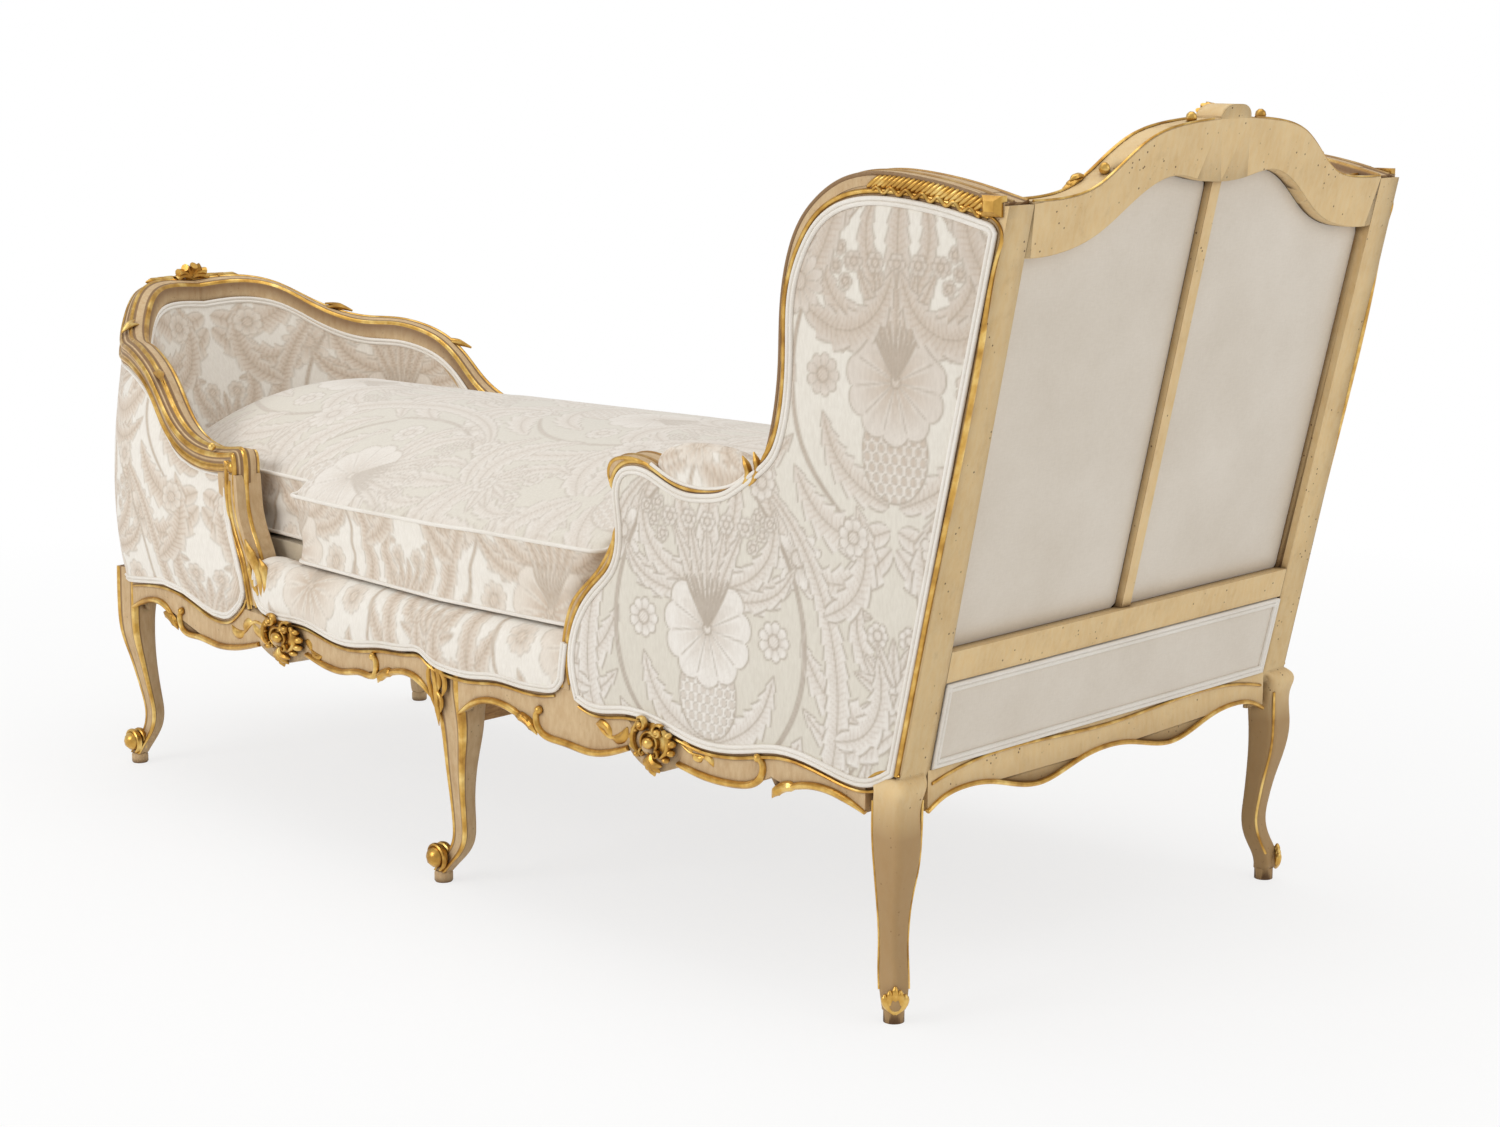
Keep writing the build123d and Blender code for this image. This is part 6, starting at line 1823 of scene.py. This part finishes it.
def webbing():
    cross, long_bands = [], []
    for share in head_strap_shares + [-share for share in foot_strap_shares]:
        x = x_middle + (head_span if share > 0 else foot_span) * share
        reach = side_half - side_slant * max(0.0, (x_middle - x) / foot_span) - strap_inset
        cross.append(strap(np.array([x, -reach, 263.0]), np.array([x, reach, 263.0]),
                np.array([1.0, 0, 0])))
    for y in (-210.0, -70.0, 70.0, 210.0):
        long_bands.append(strap(np.array([bow_x(y, strap_inset) + 1.0, y, 260.7]),
                np.array([x_ledge - strap_inset, y, 260.7]), np.array([0, 1.0, 0])))
    for name, bands in (("cross_webbing", cross), ("long_webbing", long_bands)):
        show(facing_out(make_mesh(name + "_jute", *join_parts(bands))), name + "_jute", JUTE,
             "jute_webbing", replaced=[name])


# Sections of the front legs: share of the height, then x, y and thickness in knee widths
middle_leg_shares = [(1.00, -0.62, -0.14, 1.00), (0.88, -0.62, -0.14, 1.00), (0.73, -0.70, -0.16, 0.88),
    (0.55, -0.60, -0.20, 0.66), (0.37, -0.58, -0.22, 0.50), (0.26, -0.60, -0.24, 0.47),
    (0.19, -0.56, -0.23, 0.46), (0.13, -0.38, -0.16, 0.46), (0.085, -0.16, -0.08, 0.44),
    (0.05, -0.02, 0.00, 0.40)]
end_leg_shares = [(1.00, 0.06, -0.22, 0.90), (0.80, 0.02, -0.14, 0.86), (0.67, -0.06, -0.10, 0.78),
    (0.55, -0.16, -0.16, 0.62), (0.43, -0.25, -0.25, 0.51), (0.34, -0.32, -0.32, 0.46),
    (0.26, -0.36, -0.36, 0.44), (0.19, -0.32, -0.32, 0.43), (0.13, -0.20, -0.20, 0.43),
    (0.085, -0.08, -0.08, 0.43), (0.05, 0.00, 0.00, 0.40)]


def gilded(part, share):
    """A part with the same gilding all over."""
    return part[0], part[1], {"gilt": np.full(len(part[0]), share)}


def leg(foot, shares, name):
    """A cabriole leg: gilded ridges on both outer arrises with a hollow face between."""
    rows = smooth([(rail_top * z, foot[0] - knee_width * x, -foot[1] - knee_width * y,
            knee_width * side) for z, x, y, side in shares], 4.0)
    turns = np.linspace(0, 2 * math.pi, 72, endpoint=False)
    points, gilt = [], []
    for z, x, y, side in rows:
        for turn in turns:
            c, s = math.cos(turn), math.sin(turn)
            radius = side / 2 / (abs(c) ** 5 + abs(s) ** 5) ** (1 / 5)
            gold = 0.0
            for arris in (-0.75 * math.pi, -0.25 * math.pi):
                d = abs((turn - arris + math.pi) % (2 * math.pi) - math.pi)
                radius += side * 0.07 * math.exp(-(d / 0.15) ** 2)
                gold = max(gold, 1.0 if d < 0.20 else antiquing_and_shade_gilt * float(d < 0.34))
            d = abs((turn + 0.5 * math.pi + math.pi) % (2 * math.pi) - math.pi)
            radius -= side * 0.10 * max(0.0, math.cos(min(d / 0.62, 1) * math.pi / 2))
            flare = 1 + 0.55 * max(0.0, min(1.0, (z / rail_top - 0.72) / 0.2)) ** 2
            points.append((x + radius * c, y + radius * s * (flare if s > 0 else 1), z))
            gilt.append(gold)

    def foot_face(a, b, lift):
        return np.array([foot[0] + a, -foot[1] - lift, b])
    pad = even_body([[foot[0], -foot[1], z] for z in (0, 2, 12, 15)], (0, 1, 0), [11, 12.2, 12.2, 11], 20)
    scroll = [ball(foot_face, (-3, 34), 15.5, 6.0, 17.0)]
    for radius, lift in ((18.5, 10.0), (18.0, -2.0)):
        scroll.append(stroke(foot_face, curl((-3, 34), radius, -60, 230, 0.8), 2.6, 4.6, (0.9, 0.5), lift))
    parts = [(np.array(points), tube_faces(len(rows), len(turns)), {"gilt": np.array(gilt)}),
             gilded(pad, 0.0)] + [gilded(part, 1.0) for part in scroll]
    mesh = facing_out(make_mesh(name + "_carved", *join_parts(parts)))
    both_sides(mesh, name + "_carved", PAINT, "painted_wood", [name])


def legs():
    leg((x_middle, 366.0), middle_leg_shares, "middle_leg")
    leg((x_end, 276.0), end_leg_shares, "end_leg")


def repaint():
    """Construction pieces that stay as they are take their real finish."""
    finishes = {"painted_wood": PAINT, "beech": BEECH, "steel": STEEL, "jute_webbing": JUTE,
                "deck_cloth": CALICO, "damask": DAMASK, "satin": SATIN}
    slots = {entry["node"]: entry["material_slot"] for entry in frame["record"]["subparts"]}
    for name, node in frame["nodes"].items():
        for slot in node.material_slots:
            slot.material = finishes[slots[name]]


# Camera, floor and light

def camera():
    """The camera solved from the photo's straight edges."""
    data = bpy.data.cameras.new("camera")
    data.lens = 68.64
    data.sensor_width = 36.0
    data.clip_end = 60.0
    eye = bpy.data.objects.new("camera", data)
    bpy.context.scene.collection.objects.link(eye)
    eye.location = (2.7777, -2.7156, 1.0986)
    eye.rotation_euler = (math.radians(90 - 10.71), 0, math.radians(43.01))
    bpy.context.scene.camera = eye


def seen_by(tree, *rays):
    """1 for rays of either of two kinds, else 0."""
    ways = add(tree, "ShaderNodeLightPath").outputs
    return reckon(tree, "MAXIMUM", *(ways[ray] for ray in rays))


def studio():
    """A floor that keeps the shadow, a white surround and three soft lamps."""
    scene = bpy.context.scene
    scene.view_settings.view_transform = "Standard"
    floor_mesh = bpy.data.meshes.new("floor")
    corners = ((-1, -1), (1, -1), (1, 1), (-1, 1))
    floor_mesh.from_pydata([(14.0 * x, 14.0 * y, 0) for x, y in corners], [], [(0, 1, 2, 3)])
    floor = bpy.data.objects.new("floor", floor_mesh)
    scene.collection.objects.link(floor)
    material, tree, place = blank("studio_floor")
    plain = add(tree, "ShaderNodeBsdfDiffuse", {"Color": (0.93, 0.93, 0.93, 1)})
    glow = add(tree, "ShaderNodeEmission", {"Color": (1, 1, 1, 1), "Strength": 1.0})
    seen = seen_by(tree, "Is Camera Ray", "Is Glossy Ray")
    far = add(tree, "ShaderNodeVectorMath", {0: place}, operation="LENGTH").outputs["Value"]
    away = add(tree, "ShaderNodeMapRange", {"Value": far, "From Min": 0.7, "From Max": 2.6,
            "To Min": 0.74, "To Max": 1.0})
    mixed = add(tree, "ShaderNodeMixShader",
                {0: times(tree, seen, away.outputs["Result"]), 1: plain.outputs[0], 2: glow.outputs[0]})
    add(tree, "ShaderNodeOutputMaterial", {"Surface": mixed.outputs[0]})
    floor_mesh.materials.append(material)
    world = bpy.data.worlds.new("studio")
    scene.world = world
    world.use_nodes = True
    tree = world.node_tree
    tree.nodes.clear()
    seen = seen_by(tree, "Is Camera Ray", "Is Transmission Ray")
    soft = add(tree, "ShaderNodeBackground", {"Color": (1, 0.99, 0.97, 1), "Strength": 0.62})
    white = add(tree, "ShaderNodeBackground", {"Color": (1, 1, 1, 1), "Strength": 1.0})
    mixed = add(tree, "ShaderNodeMixShader", {0: seen, 1: soft.outputs[0], 2: white.outputs[0]})
    add(tree, "ShaderNodeOutputWorld", {"Surface": mixed.outputs[0]})
    # Name, place, target, size in metres and power in watts
    lamps = [("key", (-1.2, -4.6, 2.6), (0.0, 0.0, 0.4), 2.4, 74.0),
             ("fill", (4.4, 0.6, 2.4), (0.4, 0.0, 0.5), 2.6, 22.0),
             ("top", (-0.4, 0.2, 4.2), (-0.2, 0.0, 0.4), 3.0, 38.0)]
    for name, place, target, size, power in lamps:
        data = bpy.data.lights.new(name, "AREA")
        data.shape = "SQUARE"
        data.size = size
        data.energy = power
        lamp = bpy.data.objects.new(name, data)
        scene.collection.objects.link(lamp)
        lamp.location = place
        away = unit(np.array(place) - np.array(target))
        lamp.rotation_euler = (math.acos(away[2]), 0, math.atan2(away[1], away[0]) + math.pi / 2)


repaint()
wood()
deck()
webbing()
head_show_wood()
foot_show_wood()
legs()
side_gilding()
end_gilding()
foot_crest_carving()
crest_carving()
wing_carving()
wing_flutes()
side_covers()
side_piping()
inner_side_pads()
foot_outer_cover()
foot_inner_pad()
seat_borders()
seat_cushion()
arm_pads()
back_panels()
inner_back_pad()
camera()
studio()
